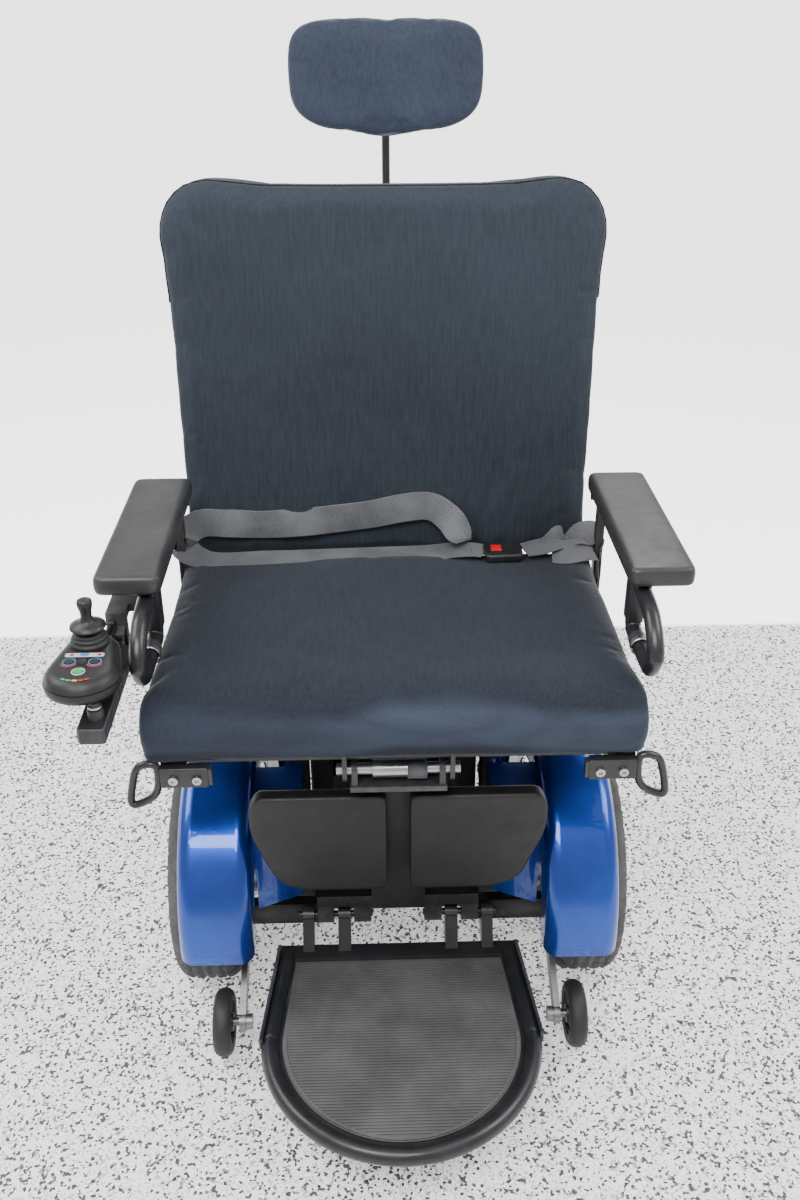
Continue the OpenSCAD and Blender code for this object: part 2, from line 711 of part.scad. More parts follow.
module headrest_post() color("silver") on_back() {
    translate([0, head_post_y, back_z1 - 190]) cylinder(h = head_zc - back_z1 + 190, r = head_post_r);
    rod_x(-22, 22, [head_post_y, head_zc], 8);
}

module headrest_pad() on_back() {
    color("darkslategray") front_plate(head_back - head_t, head_back)
        translate([-head_w / 2, head_z0]) round_rect(head_w, head_h, head_h * 0.36);
    color("black") {
        front_plate(head_back, head_back + 4) translate([-45, head_zc - 30]) round_rect(90, 60, 8);
        for (s = [0, 1]) mirror([s, 0, 0]) difference() {
            side_plate(12, 19) {
                translate([head_post_y, head_zc]) circle(13);
                translate([head_back + 3, head_zc - 11]) square([head_post_y - head_back - 3, 22]);
            }
            rod_x(5, 30, [head_post_y, head_zc], 8 + slip);
        }
    }
}

// ---------- Armrests ----------

loop_low = loop_z + loop_d / 2;
loop_path = [[upright_y + 6, loop_top], [arm_y0 - 12, loop_top - 6], [arm_y0 - 48, loop_top - 20],
    [arm_y0 - 66, loop_top - 36],
    [arm_y0 - 69, loop_top - 50], [arm_y0 - 64, loop_low + 20], [arm_y0 - 56, loop_low + 6],
        [arm_y0 - 42, loop_low],
    [upright_y - 16, loop_low], [upright_y - 4, loop_low + 5], [upright_y, loop_low + 14],
        [upright_y, loop_z + 42]];

module arm_frame_left() color("black") difference() {
    union() {
        block([arm_x - bar_w / 2, upright_y - 40, bar_z], [arm_x + bar_w / 2, arm_pivot[0] - 16, arm_z0]);
        // Fork round the hinge post
        for (s = [-1, 1]) {
            x0 = arm_x + s * (bar_w / 2 - 2) - 2;
            block([x0, arm_pivot[0] - 20, bar_z], [x0 + 4, arm_pivot[0], arm_z0]);
            rod_x(x0, x0 + 4, arm_pivot, 9);
        }
        block([arm_x - bar_w / 2, upright_y - 13, loop_z + 22],
            [arm_x + bar_w / 2, upright_y + 13, bar_z + 2]);
        translate([arm_x, upright_y, loop_z + 18]) cylinder(h = 10, r = loop_d / 2 + 3);
        bent_tube(arm_x, loop_path, loop_d / 2);
    }
    rod_x(arm_x - bar_w, arm_x + bar_w, arm_pivot, arm_pin_r + slip);
}

module arm_pad_left() color("dimgray")
    translate([arm_in, arm_y0, arm_z0]) linear_extrude(arm_pad_t) round_rect(arm_pad_w, arm_pad_l, 12);

// ---------- Foot platform ----------

module legrest_pin() color("silver") {
    rod_x(-clevis_x - 14, clevis_x + 14, [pin_y, pin_z], pin_r);
    rod_x(-34, 34, [pin_y, pin_z], pin_r + 4);
}

module legrest_mast() color("black") difference() {
    union() {
        // Channel
        block([-mast_w / 2, mast_front, mast_z0], [mast_w / 2, mast_front + 5, shelf_z]);
        for (s = [-1, 1])
            block([s * (mast_w / 2 - 2.5) - 2.5, mast_front, mast_z0],
                [s * (mast_w / 2 - 2.5) + 2.5, mast_front + mast_d, shelf_z]);
        // Shelf and lugs that hang on the pin
        block([-lug_x - 10, pin_y - 17, shelf_z], [lug_x + 10, mast_front + mast_d, shelf_z + 8]);
        for (s = [0, 1]) mirror([s, 0, 0]) side_plate(lug_x, lug_x + 8) {
            translate([pin_y, pin_z]) circle(14);
            translate([pin_y - 14, shelf_z + 4]) square([28, pin_z - shelf_z - 4]);
        }
        // Lugs and pins of the calf pads
        for (s = [0, 1]) mirror([s, 0, 0]) {
            for (z = [calf_lug_z, calf_lug_z + 50])
                block([mast_w / 2 - 2, calf_pin[1] - 9, z], [calf_pin[0] + 9, calf_pin[1] + 9, z + 10]);
            translate([calf_pin[0], calf_pin[1], calf_lug_z + 5]) cylinder(h = 50, r = calf_pin_r);
        }
        // Cross bar, lugs and hinge blocks at the foot
        block([-block_x[1], foot_y - 14, foot_hinge_z + 27], [block_x[1], foot_y + 6, foot_hinge_z + 47]);
        block([-mast_w / 2, mast_front, mast_z0], [mast_w / 2, foot_y, mast_z0 + 8]);
        for (s = [0, 1]) mirror([s, 0, 0]) for (x = [block_x, mast_lug_x]) {
            block([x[0], foot_y - 13, foot_hinge_z], [x[1], foot_y + 13, foot_hinge_z + 30]);
            rod_x(x[0], x[1], [foot_y, foot_hinge_z], 13);
        }
    }
    rod_x(-clevis_x, clevis_x, [pin_y, pin_z], pin_r + slip);
    for (s = [0, 1]) mirror([s, 0, 0])
        rod_x(mast_lug_x[0] - 5, block_x[1] + 5, [foot_y, foot_hinge_z], foot_pin_r + slip);
}

module calf_outline() {
    top = calf_z1;
    low = calf_z1 - calf_h;
    out = calf_x0 + calf_w;
    r = 18;
    polygon([[calf_x0, low + r], [calf_x0 + r, low], [out - 55, low], [out - 40, low + 8],
        [out - 4, top - 66], [out, top - 46], [out - 10, top - 26], [out - 40, top - 8], [out - 90, top],
        [calf_x0 + r, top], [calf_x0, top - r]]);
    translate([calf_x0 + r, low + r]) circle(r);
    translate([calf_x0 + r, top - r]) circle(r);
}

module calf_pad_left() {
    color("dimgray") front_plate(calf_front, calf_front + calf_t) calf_outline();
    color("black") difference() {
        union() {
            block([calf_pin[0] - 9, calf_front + calf_t, calf_lug_z - 20],
                [calf_pin[0] + 70, calf_front + calf_t + 4, calf_lug_z + 80]);
            block([calf_pin[0] - 8, calf_front + calf_t + 2, calf_lug_z + 11],
                [calf_pin[0] + 8, calf_pin[1], calf_lug_z + 49]);
            translate([calf_pin[0], calf_pin[1], calf_lug_z + 11]) cylinder(h = 38, r = 9);
        }
        translate([calf_pin[0], calf_pin[1], calf_lug_z]) cylinder(h = 60, r = calf_pin_r + slip);
    }
}

// A slab of the platform's plan: a round front that narrows to a straight back edge
module foot_slab(r, back_x, back, t) difference() {
    union() {
        translate([0, foot_arc_y, 0]) cylinder(h = t, r = r);
        linear_extrude(t) polygon([[-back_x, back + 20], [back_x, back + 20],
            [r * cos(15) - 0.5, foot_arc_y - r * sin(15)], [-r * cos(15) + 0.5, foot_arc_y - r * sin(15)]]);
    }
    block([-foot_r, back, -1], [foot_r, back + 80, t + 1]);
}

module footplate() color("black") {
    // Round front and straight sides of the tube
    translate([0, foot_arc_y, foot_z]) rotate([0, 0, 180]) rotate_extrude(angle = 180, $fn = 96)
        translate([foot_r, 0]) circle(foot_tube_r);
    for (s = [-1, 1]) {
        translate([s * foot_r, foot_arc_y, foot_z]) sphere(foot_tube_r + 0.4);
        rod([s * foot_r, foot_arc_y, foot_z], [s * (foot_back_x - 12), foot_back - 8, foot_z], foot_tube_r);
        // Side guard outside the tube
        translate([0, 0, foot_z - 4]) linear_extrude(20)
            polygon([[s * (foot_back_x - 4), foot_back], [s * (foot_back_x + 1), foot_back],
                [s * (foot_r + foot_tube_r + 2), foot_arc_y - 10],
                [s * (foot_r + foot_tube_r - 3), foot_arc_y - 10]]);
    }
    // Plate
    translate([0, 0, foot_z - 4]) foot_slab(foot_r - 6, foot_back_x - 6, foot_back, 6);
    // Back edge
    block([-foot_back_x, foot_back - 14, foot_z - 8], [foot_back_x, foot_back, foot_z + 14]);
    // Knuckles with their pins
    for (s = [0, 1]) mirror([s, 0, 0]) {
        for (x = [lug_out_x, lug_in_x]) {
            side_plate(x[0], x[1]) {
                polygon([[foot_y - 11, foot_hinge_z], [foot_y + 11, foot_hinge_z],
                    [foot_y + 11, foot_hinge_z - 30],
                    [foot_back, foot_z - 8], [foot_back - 14, foot_z - 8], [foot_back - 14, foot_z + 14]]);
                translate([foot_y, foot_hinge_z]) circle(11);
            }
        }
        rod_x(mast_lug_x[0] - 2, lug_out_x[1] + 5, [foot_y, foot_hinge_z], foot_pin_r);
    }
}

module footplate_mat() color("gray") translate([0, 0, foot_z + 2])
    foot_slab(foot_r - foot_tube_r - 4, foot_back_x - 26, foot_back - 24, 4);

// ---------- Joystick ----------

module joystick_bracket() color("black") {
    side = arm_x + bar_w / 2;
    block([swing_x - 13, upright_y - 13, pod_z0 - 6], [-side, upright_y + 13, pod_z0 + 6]);
    block([swing_x - 13, swing_y + 12, pod_z0 - 6], [swing_x + 13, upright_y + 13, pod_z0 + 6]);
    block([swing_x - 13, swing_y + 12, swing_z0 - 8], [swing_x + 13, swing_y + 24, pod_z0 + 6]);
    for (z = [swing_z0 - 8, swing_z0 + swing_h + 1])
        block([swing_x - 12, swing_y - 12, z], [swing_x + 12, swing_y + 14, z + 7]);
    translate([swing_x, swing_y, swing_z0 - 5]) cylinder(h = swing_h + 10, r = swing_pin_r);
}

swing_front = pod_front_y - pod_front_r - 13;

module joystick_swing_arm() color("black") difference() {
    union() {
        translate([0, 0, swing_z0]) linear_extrude(swing_h) {
            translate([swing_x, swing_y]) circle(11);
            polygon([[swing_x - 11, swing_y], [swing_x + 11, swing_y], [swing_x + 11, swing_y - 16],
                [swing_mid + swing_w / 2, swing_y - 30], [swing_mid + swing_w / 2, swing_front],
                [swing_mid - swing_w / 2, swing_front], [swing_mid - swing_w / 2, swing_y - 30],
                [swing_x - 11, swing_y - 16]]);
        }
        // Bosses that carry the housing
        translate([swing_mid + 2, pod_front_y - 31, swing_z0 + swing_h - 1]) cylinder(h = 13, r = 9);
        translate([swing_mid + 2, pod_front_y - 31, swing_z0 + swing_h])
            cylinder(h = pod_z0 - swing_z0 - swing_h, r = 6);
        translate([swing_mid - 6, stick_y, swing_z0 + swing_h])
            cylinder(h = pod_z0 - swing_z0 - swing_h, r = 9);
    }
    translate([swing_x, swing_y, swing_z0 - 1]) cylinder(h = swing_h + 2, r = swing_pin_r + slip);
}

module pod_outline(inset) translate([pod_x, 0]) {
    slope = asin((pod_rear_r - pod_front_r) / (stick_y - pod_front_y));
    out = [cos(slope), -sin(slope)];
    rear = [0, stick_y] + (pod_rear_r - inset) * out;
    front = [0, pod_front_y] + (pod_front_r - inset) * out;
    translate([0, stick_y]) circle(pod_rear_r - inset, $fn = 96);
    translate([0, pod_front_y]) circle(pod_front_r - inset, $fn = 96);
    polygon([rear, [-rear[0], rear[1]], [-front[0], front[1]], front]);
}

button_z = pod_z1 - 3;
button_r = 6;
buttons = [[pod_x, pod_front_y - 12], [pod_x + 15, pod_front_y + 9], [pod_x - 15, pod_front_y + 9],
    [pod_x, pod_front_y + 9]];

module joystick_pod() color("dimgray") difference() {
    union() {
        translate([0, 0, pod_z0]) linear_extrude(pod_h - 12) pod_outline(0);
        translate([0, 0, pod_z0 + pod_h - 12]) linear_extrude(12) pod_outline(7);
        translate([pod_x, stick_y, pod_z1 - 1]) cylinder(h = 6, r = 19);
    }
    translate([pod_x, stick_y, pod_z1 - 20]) cylinder(h = 40, r = 16);
    for (b = buttons) translate([b[0], b[1], button_z - 2]) cylinder(h = 10, r = button_r + 0.4);
}

module button(i) color("steelblue")
    translate([buttons[i][0], buttons[i][1], button_z]) cylinder(h = 4.5, r = button_r);

module joystick_gimbal() color("silver") difference() {
    union() {
        translate([pod_x, stick_y, stick_z - 4]) cylinder(h = 8, r = 11);
        rod_y(stick_y - 15.5, stick_y + 15.5, [pod_x, stick_z], 2);
    }
    translate([pod_x, stick_y, stick_z - 5]) cylinder(h = 10, r = 8);
}

module joystick_stick() color("black") {
    rod_x(pod_x - 7, pod_x + 7, [stick_y, stick_z], 2);
    translate([pod_x, stick_y, stick_z - 4]) cylinder(h = 40, r = stick_r);
    translate([pod_x, stick_y, pod_z1 + 14]) cylinder(h = 10, r1 = 21, r2 = 8);
    translate([pod_x, stick_y, pod_z1 + 22]) cylinder(h = knob_h - 30, r1 = 7, r2 = 9.5);
    translate([pod_x, stick_y, pod_z1 + knob_h - 8]) cylinder(h = 8, r1 = 9.5, r2 = 7.5);
}

cable_x = swing_x - 4;
cable_exit = stick_y + pod_rear_r;
cable_path = [[cable_exit, pod_z0 + 9], [cable_exit + 12, pod_z0 + 9], [swing_y + 4, pod_z0 - 4]];

module joystick_cable() color("black") bent_tube(cable_x, cable_path, cable_r);

place() base_frame();
place() batteries();
place() control_module();
place() body_shroud();
place() fender_left();
place() right() fender_left();  // fender_right
place() gearmotor_left();
place() right() gearmotor_left();  // gearmotor_right
place() seat_tower();
place() freewheel_lever_left();
place() right() freewheel_lever_left();  // freewheel_lever_right
place() drive_tyre_left();
place() right() drive_tyre_left();  // drive_tyre_right
place() drive_rim_left();
place() right() drive_rim_left();  // drive_rim_right
place() caster_beam();
place() caster_fork_left();
place() right() caster_fork_left();  // caster_fork_right
place() caster_tyre_left();
place() right() caster_tyre_left();  // caster_tyre_right
place() caster_hub_left();
place() right() caster_hub_left();  // caster_hub_right
place() antitip_arm_left();
place() right() antitip_arm_left();  // antitip_arm_right
place() antitip_wheel_left();
place() right() antitip_wheel_left();  // antitip_wheel_right
place() seat_frame();
place() seat_pan();
place() seat_cushion();
place() tie_down_left();
place() right() tie_down_left();  // tie_down_right
place() tie_down_bolts();
place() belt_straps();
place() belt_buckle();
place() buckle_button();
place() back_frame();
place() back_shell();
place() back_cushion();
place() headrest_post();
place() headrest_pad();
place() arm_frame_left();
place() right() arm_frame_left();  // arm_frame_right
place() arm_pad_left();
place() right() arm_pad_left();  // arm_pad_right
place() legrest_pin();
place() legrest_mast();
place() calf_pad_left();
place() right() calf_pad_left();  // calf_pad_right
place() footplate();
place() footplate_mat();
place() joystick_bracket();
place() joystick_swing_arm();
place() joystick_pod();
place() joystick_gimbal();
place() joystick_stick();
place() button(0);  // power_button
place() button(1);  // slower_button
place() button(2);  // faster_button
place() button(3);  // horn_button
place() joystick_cable();
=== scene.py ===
import json
import math

import bmesh
import bpy
from mathutils import Matrix, Vector, noise
from mathutils.bvhtree import BVHTree


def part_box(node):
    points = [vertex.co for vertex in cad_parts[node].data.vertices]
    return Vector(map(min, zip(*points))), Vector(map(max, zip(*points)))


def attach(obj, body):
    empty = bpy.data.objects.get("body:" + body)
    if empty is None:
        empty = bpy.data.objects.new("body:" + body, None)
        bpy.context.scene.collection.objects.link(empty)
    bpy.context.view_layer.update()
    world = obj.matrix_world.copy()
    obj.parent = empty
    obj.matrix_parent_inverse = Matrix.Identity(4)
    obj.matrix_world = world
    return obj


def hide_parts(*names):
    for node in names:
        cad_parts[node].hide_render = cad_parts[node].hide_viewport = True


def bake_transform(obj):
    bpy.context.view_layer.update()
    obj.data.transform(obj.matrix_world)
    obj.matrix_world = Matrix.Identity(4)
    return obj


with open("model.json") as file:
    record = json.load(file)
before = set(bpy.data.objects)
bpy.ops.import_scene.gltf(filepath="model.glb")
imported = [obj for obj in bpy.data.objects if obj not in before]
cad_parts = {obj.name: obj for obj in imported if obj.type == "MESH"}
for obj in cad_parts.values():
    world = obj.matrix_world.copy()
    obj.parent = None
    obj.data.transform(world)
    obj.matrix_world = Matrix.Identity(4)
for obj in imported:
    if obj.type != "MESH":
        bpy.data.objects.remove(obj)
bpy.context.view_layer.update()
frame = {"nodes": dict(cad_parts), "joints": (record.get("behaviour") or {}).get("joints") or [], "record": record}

# ---------- Places: everything is set out from the drive axle, in millimetres ----------

joint = {j["name"]: j for j in frame["joints"]}
left_hub = joint["drive_wheel_left_spin"]["pos_m"]
right_hub = joint["drive_wheel_right_spin"]["pos_m"]
MID_X = (left_hub[0] + right_hub[0]) / 2
AXLE_Y = left_hub[1]


def at(x, y, z):
    """A point given in millimetres from the drive axle's middle, on the floor, in the row frame."""
    return Vector((MID_X + x / 1000, AXLE_Y + y / 1000, z / 1000))


def mm(name):
    """A CAD node's box in millimetres from the drive axle: (low corner, high corner)."""
    low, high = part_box(name)
    shift = Vector((MID_X, AXLE_Y, 0))
    return (low - shift) * 1000, (high - shift) * 1000


# ---------- Camera ----------

CAMERA_PLACE = (-32.2, -1392.9, 1399.9)
CAMERA_YAW, CAMERA_PITCH, CAMERA_ROLL = -1.63, 61.2, -0.17
FILM_HEIGHT = 36
# Focal length over picture height
LENS_RATIO = 1152 / 1200

camera_data = bpy.data.cameras.new("camera")
camera = bpy.data.objects.new("camera", camera_data)
bpy.context.scene.collection.objects.link(camera)
camera.location = at(*CAMERA_PLACE)
turn = Matrix.Rotation(math.radians(CAMERA_YAW), 4, "Z")
turn = turn @ Matrix.Rotation(math.radians(CAMERA_PITCH), 4, "X")
turn = turn @ Matrix.Rotation(math.radians(CAMERA_ROLL), 4, "Z")
camera.rotation_euler = turn.to_euler()
camera_data.sensor_fit = "VERTICAL"
camera_data.sensor_height = FILM_HEIGHT
camera_data.lens = FILM_HEIGHT * LENS_RATIO
camera_data.clip_start = 0.05
bpy.context.scene.camera = camera

# ---------- Mesh helpers: all take millimetres from the axle, and make objects in the row frame ----------


def link(name, mesh, smooth=True):
    obj = bpy.data.objects.new(name, mesh)
    bpy.context.scene.collection.objects.link(obj)
    if smooth:
        mesh.shade_smooth()
    return obj


def from_bmesh(name, bm):
    for v in bm.verts:
        v.co = at(*v.co)
    bmesh.ops.recalc_face_normals(bm, faces=bm.faces)
    mesh = bpy.data.meshes.new(name)
    bm.to_mesh(mesh)
    bm.free()
    return link(name, mesh)


def from_rings(name, rings, closed=False):
    """A skin over rings of points; closed joins the last ring to the first."""
    bm = bmesh.new()
    rows = [[bm.verts.new(p) for p in ring] for ring in rings]
    n = len(rows[0])
    count = len(rows) if closed else len(rows) - 1
    for i in range(count):
        a, b = rows[i], rows[(i + 1) % len(rows)]
        for j in range(n):
            bm.faces.new((a[j], a[(j + 1) % n], b[(j + 1) % n], b[j]))
    if not closed:
        bm.faces.new(rows[0][::-1])
        bm.faces.new(rows[-1])
    return from_bmesh(name, bm)


def spline_point(a, b, c, d, t):
    """Catmull-Rom point between b and c."""
    square, cube = (2 * a - 5 * b + 4 * c - d) * t**2, (3 * b - a - 3 * c + d) * t**3
    return 0.5 * (2 * b + (c - a) * t + square + cube)


def curve_through(points, steps=6):
    """Points of a smooth open curve through the given ones."""
    pts = [Vector(p) for p in points]
    pts = [2 * pts[0] - pts[1], *pts, 2 * pts[-1] - pts[-2]]
    out = []
    for i in range(1, len(pts) - 2):
        a, b, c, d = pts[i - 1 : i + 3]
        for k in range(steps):
            out.append(spline_point(a, b, c, d, k / steps))
    out.append(pts[-2])
    return out


def circle(r, n=16):
    return [(r * math.cos(2 * math.pi * k / n), r * math.sin(2 * math.pi * k / n)) for k in range(n)]


def round_rect(w, h, r, n=4):
    """A rectangle's outline with round corners, about its middle."""
    out = []
    u, v = w / 2 - r, h / 2 - r
    for cx, cy, a0 in ((u, v, 0), (-u, v, 90), (-u, -v, 180), (u, -v, 270)):
        for k in range(n + 1):
            a = math.radians(a0 + 90 * k / n)
            out.append((cx + r * math.cos(a), cy + r * math.sin(a)))
    return out


def sweep(name, path, section, up):
    """A section swept along a path; its first axis follows up, one direction or one for each point."""
    rings = []
    n = len(path)
    for i, p in enumerate(path):
        t = (path[min(i + 1, n - 1)] - path[max(i - 1, 0)]).normalized()
        u = Vector(up[i] if isinstance(up, list) else up)
        a = (u - t * u.dot(t)).normalized()
        b = t.cross(a)
        rings.append([p + a * x + b * y for x, y in section])
    return from_rings(name, rings)


def tube(name, points, r, steps=6, sides=16):
    return sweep(name, curve_through(points, steps), circle(r, sides), (1, 0, 0))


def lathe(name, profile, centre, axis="X", n=64):
    """A closed profile of (radius, along) turned about an axis through centre."""
    rings = []
    for k in range(n):
        a = 2 * math.pi * k / n
        c, s = math.cos(a), math.sin(a)
        spoke, along = {
            "X": (Vector((0, c, s)), Vector((1, 0, 0))), "Y": (Vector((c, 0, s)), Vector((0, 1, 0))),
            "Z": (Vector((c, s, 0)), Vector((0, 0, 1)))}[axis]
        rings.append([Vector(centre) + (spoke * r + along * h) for r, h in profile])
    return from_rings(name, rings, closed=True)


def slab(name, outline, place, low, high, bevel=2.0, segments=3):
    """An outline of (u, v) given thickness from low to high; place turns (u, v, w) into a point."""
    bm = bmesh.new()
    a = [bm.verts.new(place(u, v, low)) for u, v in outline]
    b = [bm.verts.new(place(u, v, high)) for u, v in outline]
    n = len(outline)
    rims = [bm.faces.new(a[::-1]), bm.faces.new(b)]
    for i in range(n):
        bm.faces.new((a[i], a[(i + 1) % n], b[(i + 1) % n], b[i]))
    bmesh.ops.recalc_face_normals(bm, faces=bm.faces)
    if bevel:
        edges = list({e for f in rims for e in f.edges})
        bmesh.ops.bevel(bm, geom=edges, offset=bevel, segments=segments, profile=0.6, affect="EDGES")
    return from_bmesh(name, bm)


def front(u, v, w):
    return (u, w, v)


def side(u, v, w):
    return (w, u, v)


def plan(u, v, w):
    return (u, v, w)


def brick(low, high, bevel=2.0, segments=3, bm=None):
    """A box with bevelled edges, added to a bmesh."""
    bm = bm or bmesh.new()
    low, high = Vector(low), Vector(high)
    made = bmesh.ops.create_cube(bm, size=1)["verts"]
    for v in made:
        v.co = Vector((low[k] + (v.co[k] + 0.5) * (high[k] - low[k]) for k in range(3)))
    if bevel:
        edges = list({e for v in made for e in v.link_edges})
        bmesh.ops.bevel(bm, geom=edges, offset=bevel, segments=segments, profile=0.6, affect="EDGES")
    return bm


def join(name, *objs):
    """One object of several."""
    bm = bmesh.new()
    for o in objs:
        bm.from_mesh(o.data)
        bpy.data.objects.remove(o)
    mesh = bpy.data.meshes.new(name)
    bm.to_mesh(mesh)
    bm.free()
    return link(name, mesh)


def mirrored(obj, name):
    """A copy on the other side of the chair's middle."""
    mesh = obj.data.copy()
    for v in mesh.vertices:
        v.co.x = 2 * MID_X - v.co.x
    mesh.flip_normals()
    return link(name, mesh)


def sharp(obj, degrees=35):
    """Smooth shading with the edges sharper than this kept crisp."""
    obj.data.shade_smooth()
    obj.data.set_sharp_from_angle(angle=math.radians(degrees))
    return obj


def piece(obj, body, slot, material, *nodes):
    """Gives obj its material, hangs it on its body and hides the CAD nodes it stands for; slot is not used."""
    obj.data.materials.clear()
    obj.data.materials.append(material)
    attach(obj, body)
    if nodes:
        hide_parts(*nodes)
    return obj


# ---------- Materials ----------


def srgb(r, g, b):
    def lin(c):
        c /= 255
        return c / 12.92 if c <= 0.04045 else ((c + 0.055) / 1.055) ** 2.4
    return (lin(r), lin(g), lin(b), 1)


class Look:
    """A material with a Principled shader, and short ways to add nodes to it."""

    def __init__(self, name, rough=0.5, metallic=0.0, **fixed):
        self.mat = bpy.data.materials.new(name)
        self.mat.use_nodes = True
        self.tree = self.mat.node_tree
        self.shader = self.tree.nodes["Principled BSDF"]
        self.shader.inputs["Roughness"].default_value = rough
        self.shader.inputs["Metallic"].default_value = metallic
        for key, value in fixed.items():
            self.shader.inputs[key.replace("_", " ")].default_value = value
        self.where = self.tree.nodes.new("ShaderNodeTexCoord").outputs["Object"]

    def add(self, kind, out=0, props=None, **inputs):
        node = self.tree.nodes.new(kind)
        for key, value in (props or {}).items():
            setattr(node, key, value)
        for key, value in inputs.items():
            numbered = key[0] == "i" and key[1:].isdigit()
            socket = node.inputs[int(key[1:]) if numbered else key.replace("_", " ")]
            if isinstance(value, bpy.types.NodeSocket):
                self.tree.links.new(value, socket)
            else:
                socket.default_value = value
        return node.outputs[out]

    def set(self, name, socket):
        self.tree.links.new(socket, self.shader.inputs[name])

    def scaled(self, x, y, z):
        return self.add("ShaderNodeMapping", Vector=self.where, Scale=(x, y, z))

    def noise(self, scale, detail=3, rough=0.55, vector=None):
        return self.add("ShaderNodeTexNoise", Vector=vector or self.where, Scale=scale, Detail=detail,
            Roughness=rough)

    def cells(self, scale, out=0):
        return self.add("ShaderNodeTexVoronoi", out=out, Vector=self.where, Scale=scale)

    def bands(self, scale, axis, distortion, vector=None):
        return self.add("ShaderNodeTexWave", out=1, props={"bands_direction": axis},
                        Vector=vector or self.where, Scale=scale, Distortion=distortion, Detail=1.0)

    def ramp(self, value, *stops):
        node = self.tree.nodes.new("ShaderNodeValToRGB")
        self.tree.links.new(value, node.inputs[0])
        ramp = node.color_ramp
        while len(ramp.elements) < len(stops):
            ramp.elements.new(0.5)
        for element, (place, colour) in zip(ramp.elements, stops):
            element.position = place
            element.color = colour if hasattr(colour, "__len__") else (colour, colour, colour, 1)
        return node.outputs[0]

    def mix(self, a, b, amount, blend="MIX"):
        return self.add("ShaderNodeMix", out=2, props={"data_type": "RGBA", "blend_type": blend}, i0=amount,
            i6=a, i7=b)

    def maths(self, how, a, b):
        return self.add("ShaderNodeMath", props={"operation": how}, i0=a, i1=b)

    def bump(self, height, strength, distance):
        node = self.tree.nodes.new("ShaderNodeBump")
        node.inputs["Strength"].default_value = strength
        node.inputs["Distance"].default_value = distance
        self.tree.links.new(height, node.inputs["Height"])
        self.tree.links.new(node.outputs[0], self.shader.inputs["Normal"])

    def edges(self):
        """Bright on convex edges."""
        return self.add("ShaderNodeNewGeometry", out=7)


def cloth(name, dark, light, sheen=0.18, along=(1, 1, 1), wave="Z"):
    """Fine woven stretch cloth. The streaks run along; a stored painted highlight pales it and the stored shade
    attribute darkens it with painted shade.
    """
    look = Look(name, rough=0.85, Sheen_Weight=sheen, Sheen_Roughness=0.35, Specular_IOR_Level=0.25)
    streak = look.noise(260, 2, 0.6, look.scaled(*along))
    cloud = look.noise(7, 4)
    tone = look.maths("ADD", look.maths("MULTIPLY", streak, 0.6), look.maths("MULTIPLY", cloud, 0.4))
    colour = look.ramp(tone, (0.3, dark), (0.7, light))
    # Painted highlight: a per-point amount mixes in a colour six times paler than the light tone.
    band = look.add("ShaderNodeAttribute", out=2, props={"attribute_name": "band"})
    highlighted = look.mix(colour, tuple(min(1, 6 * c) for c in light[:3]) + (1,), look.maths("MULTIPLY", band, 0.75))
    # Painted shade: a per-point amount mixes the colour towards black.
    shade = look.add("ShaderNodeAttribute", out=2, props={"attribute_name": "shade"})
    look.set("Base Color", look.mix(highlighted, (0.002, 0.002, 0.003, 1), shade))
    thread = look.bands(230, wave, 0.4)
    cross = look.bands(200, "X" if wave != "X" else "Y", 0.4)
    weave = look.maths("MULTIPLY", thread, cross)
    look.bump(look.maths("ADD", weave, look.maths("MULTIPLY", look.noise(38, 4), 1.1)), 0.35, 0.0006)
    return look.mat


def webbing(name, dark, light):
    """Twill strap: slanting ribs with a soft diamond sheen."""
    look = Look(name, rough=0.55, Sheen_Weight=0.25, Sheen_Roughness=0.3)
    slant = look.add("ShaderNodeMapping", Vector=look.where, Rotation=(0.0, 0.0, math.radians(38)))
    other = look.add("ShaderNodeMapping", Vector=look.where, Rotation=(0.0, 0.0, math.radians(-38)))
    ribs = look.maths("ADD", look.bands(150, "X", 0.6, vector=slant), look.bands(150, "X", 0.6, vector=other))
    tone = look.maths("ADD", look.maths("MULTIPLY", ribs, 0.28), look.maths("MULTIPLY", look.noise(30, 3), 0.5))
    look.set("Base Color", look.ramp(tone, (0.25, dark), (0.8, light)))
    look.bump(look.maths("ADD", ribs, look.noise(700, 1)), 0.5, 0.0004)
    return look.mat


def moulded(name, dark, light, rough=0.5, grain=900, wear=0.35):
    """Moulded plastic or urethane: fine grain, uneven gloss, edges rubbed paler."""
    look = Look(name, rough=rough)
    cloud = look.noise(14, 5)
    colour = look.ramp(cloud, (0.35, dark), (0.7, light))
    rubbed = look.ramp(look.edges(), (0.52, 0.0), (0.62, 1.0))
    worn = look.maths("MULTIPLY", look.maths("MULTIPLY", rubbed, look.noise(60, 3)), wear)
    look.set("Base Color", look.mix(colour, tuple(min(1, 2.2 * c + 0.01) for c in light[:3]) + (1,), worn))
    look.set("Roughness", look.ramp(look.noise(45, 4), (0.3, rough - 0.08), (0.7, rough + 0.08)))
    look.bump(look.maths("ADD", look.cells(grain), look.noise(grain / 2, 2)), 0.25, 0.00012)
    return look.mat


def coated(name, dark, light, rough=0.38):
    """Satin powder coat on metal: orange-peel grain, a trace of dust, worn edges."""
    look = Look(name, rough=rough, Specular_IOR_Level=0.5)
    dust = look.ramp(look.noise(24, 6), (0.45, 0.0), (0.8, 0.5))
    colour = look.mix(dark, light, dust)
    rubbed = look.maths("MULTIPLY", look.ramp(look.edges(), (0.53, 0.0), (0.66, 1.0)), look.noise(80, 3))
    look.set("Base Color", look.mix(colour, (0.22, 0.22, 0.23, 1), look.maths("MULTIPLY", rubbed, 0.5)))
    look.set("Roughness", look.ramp(look.noise(30, 5), (0.3, rough - 0.06), (0.7, rough + 0.1)))
    look.bump(look.noise(520, 3), 0.22, 0.00025)
    return look.mat


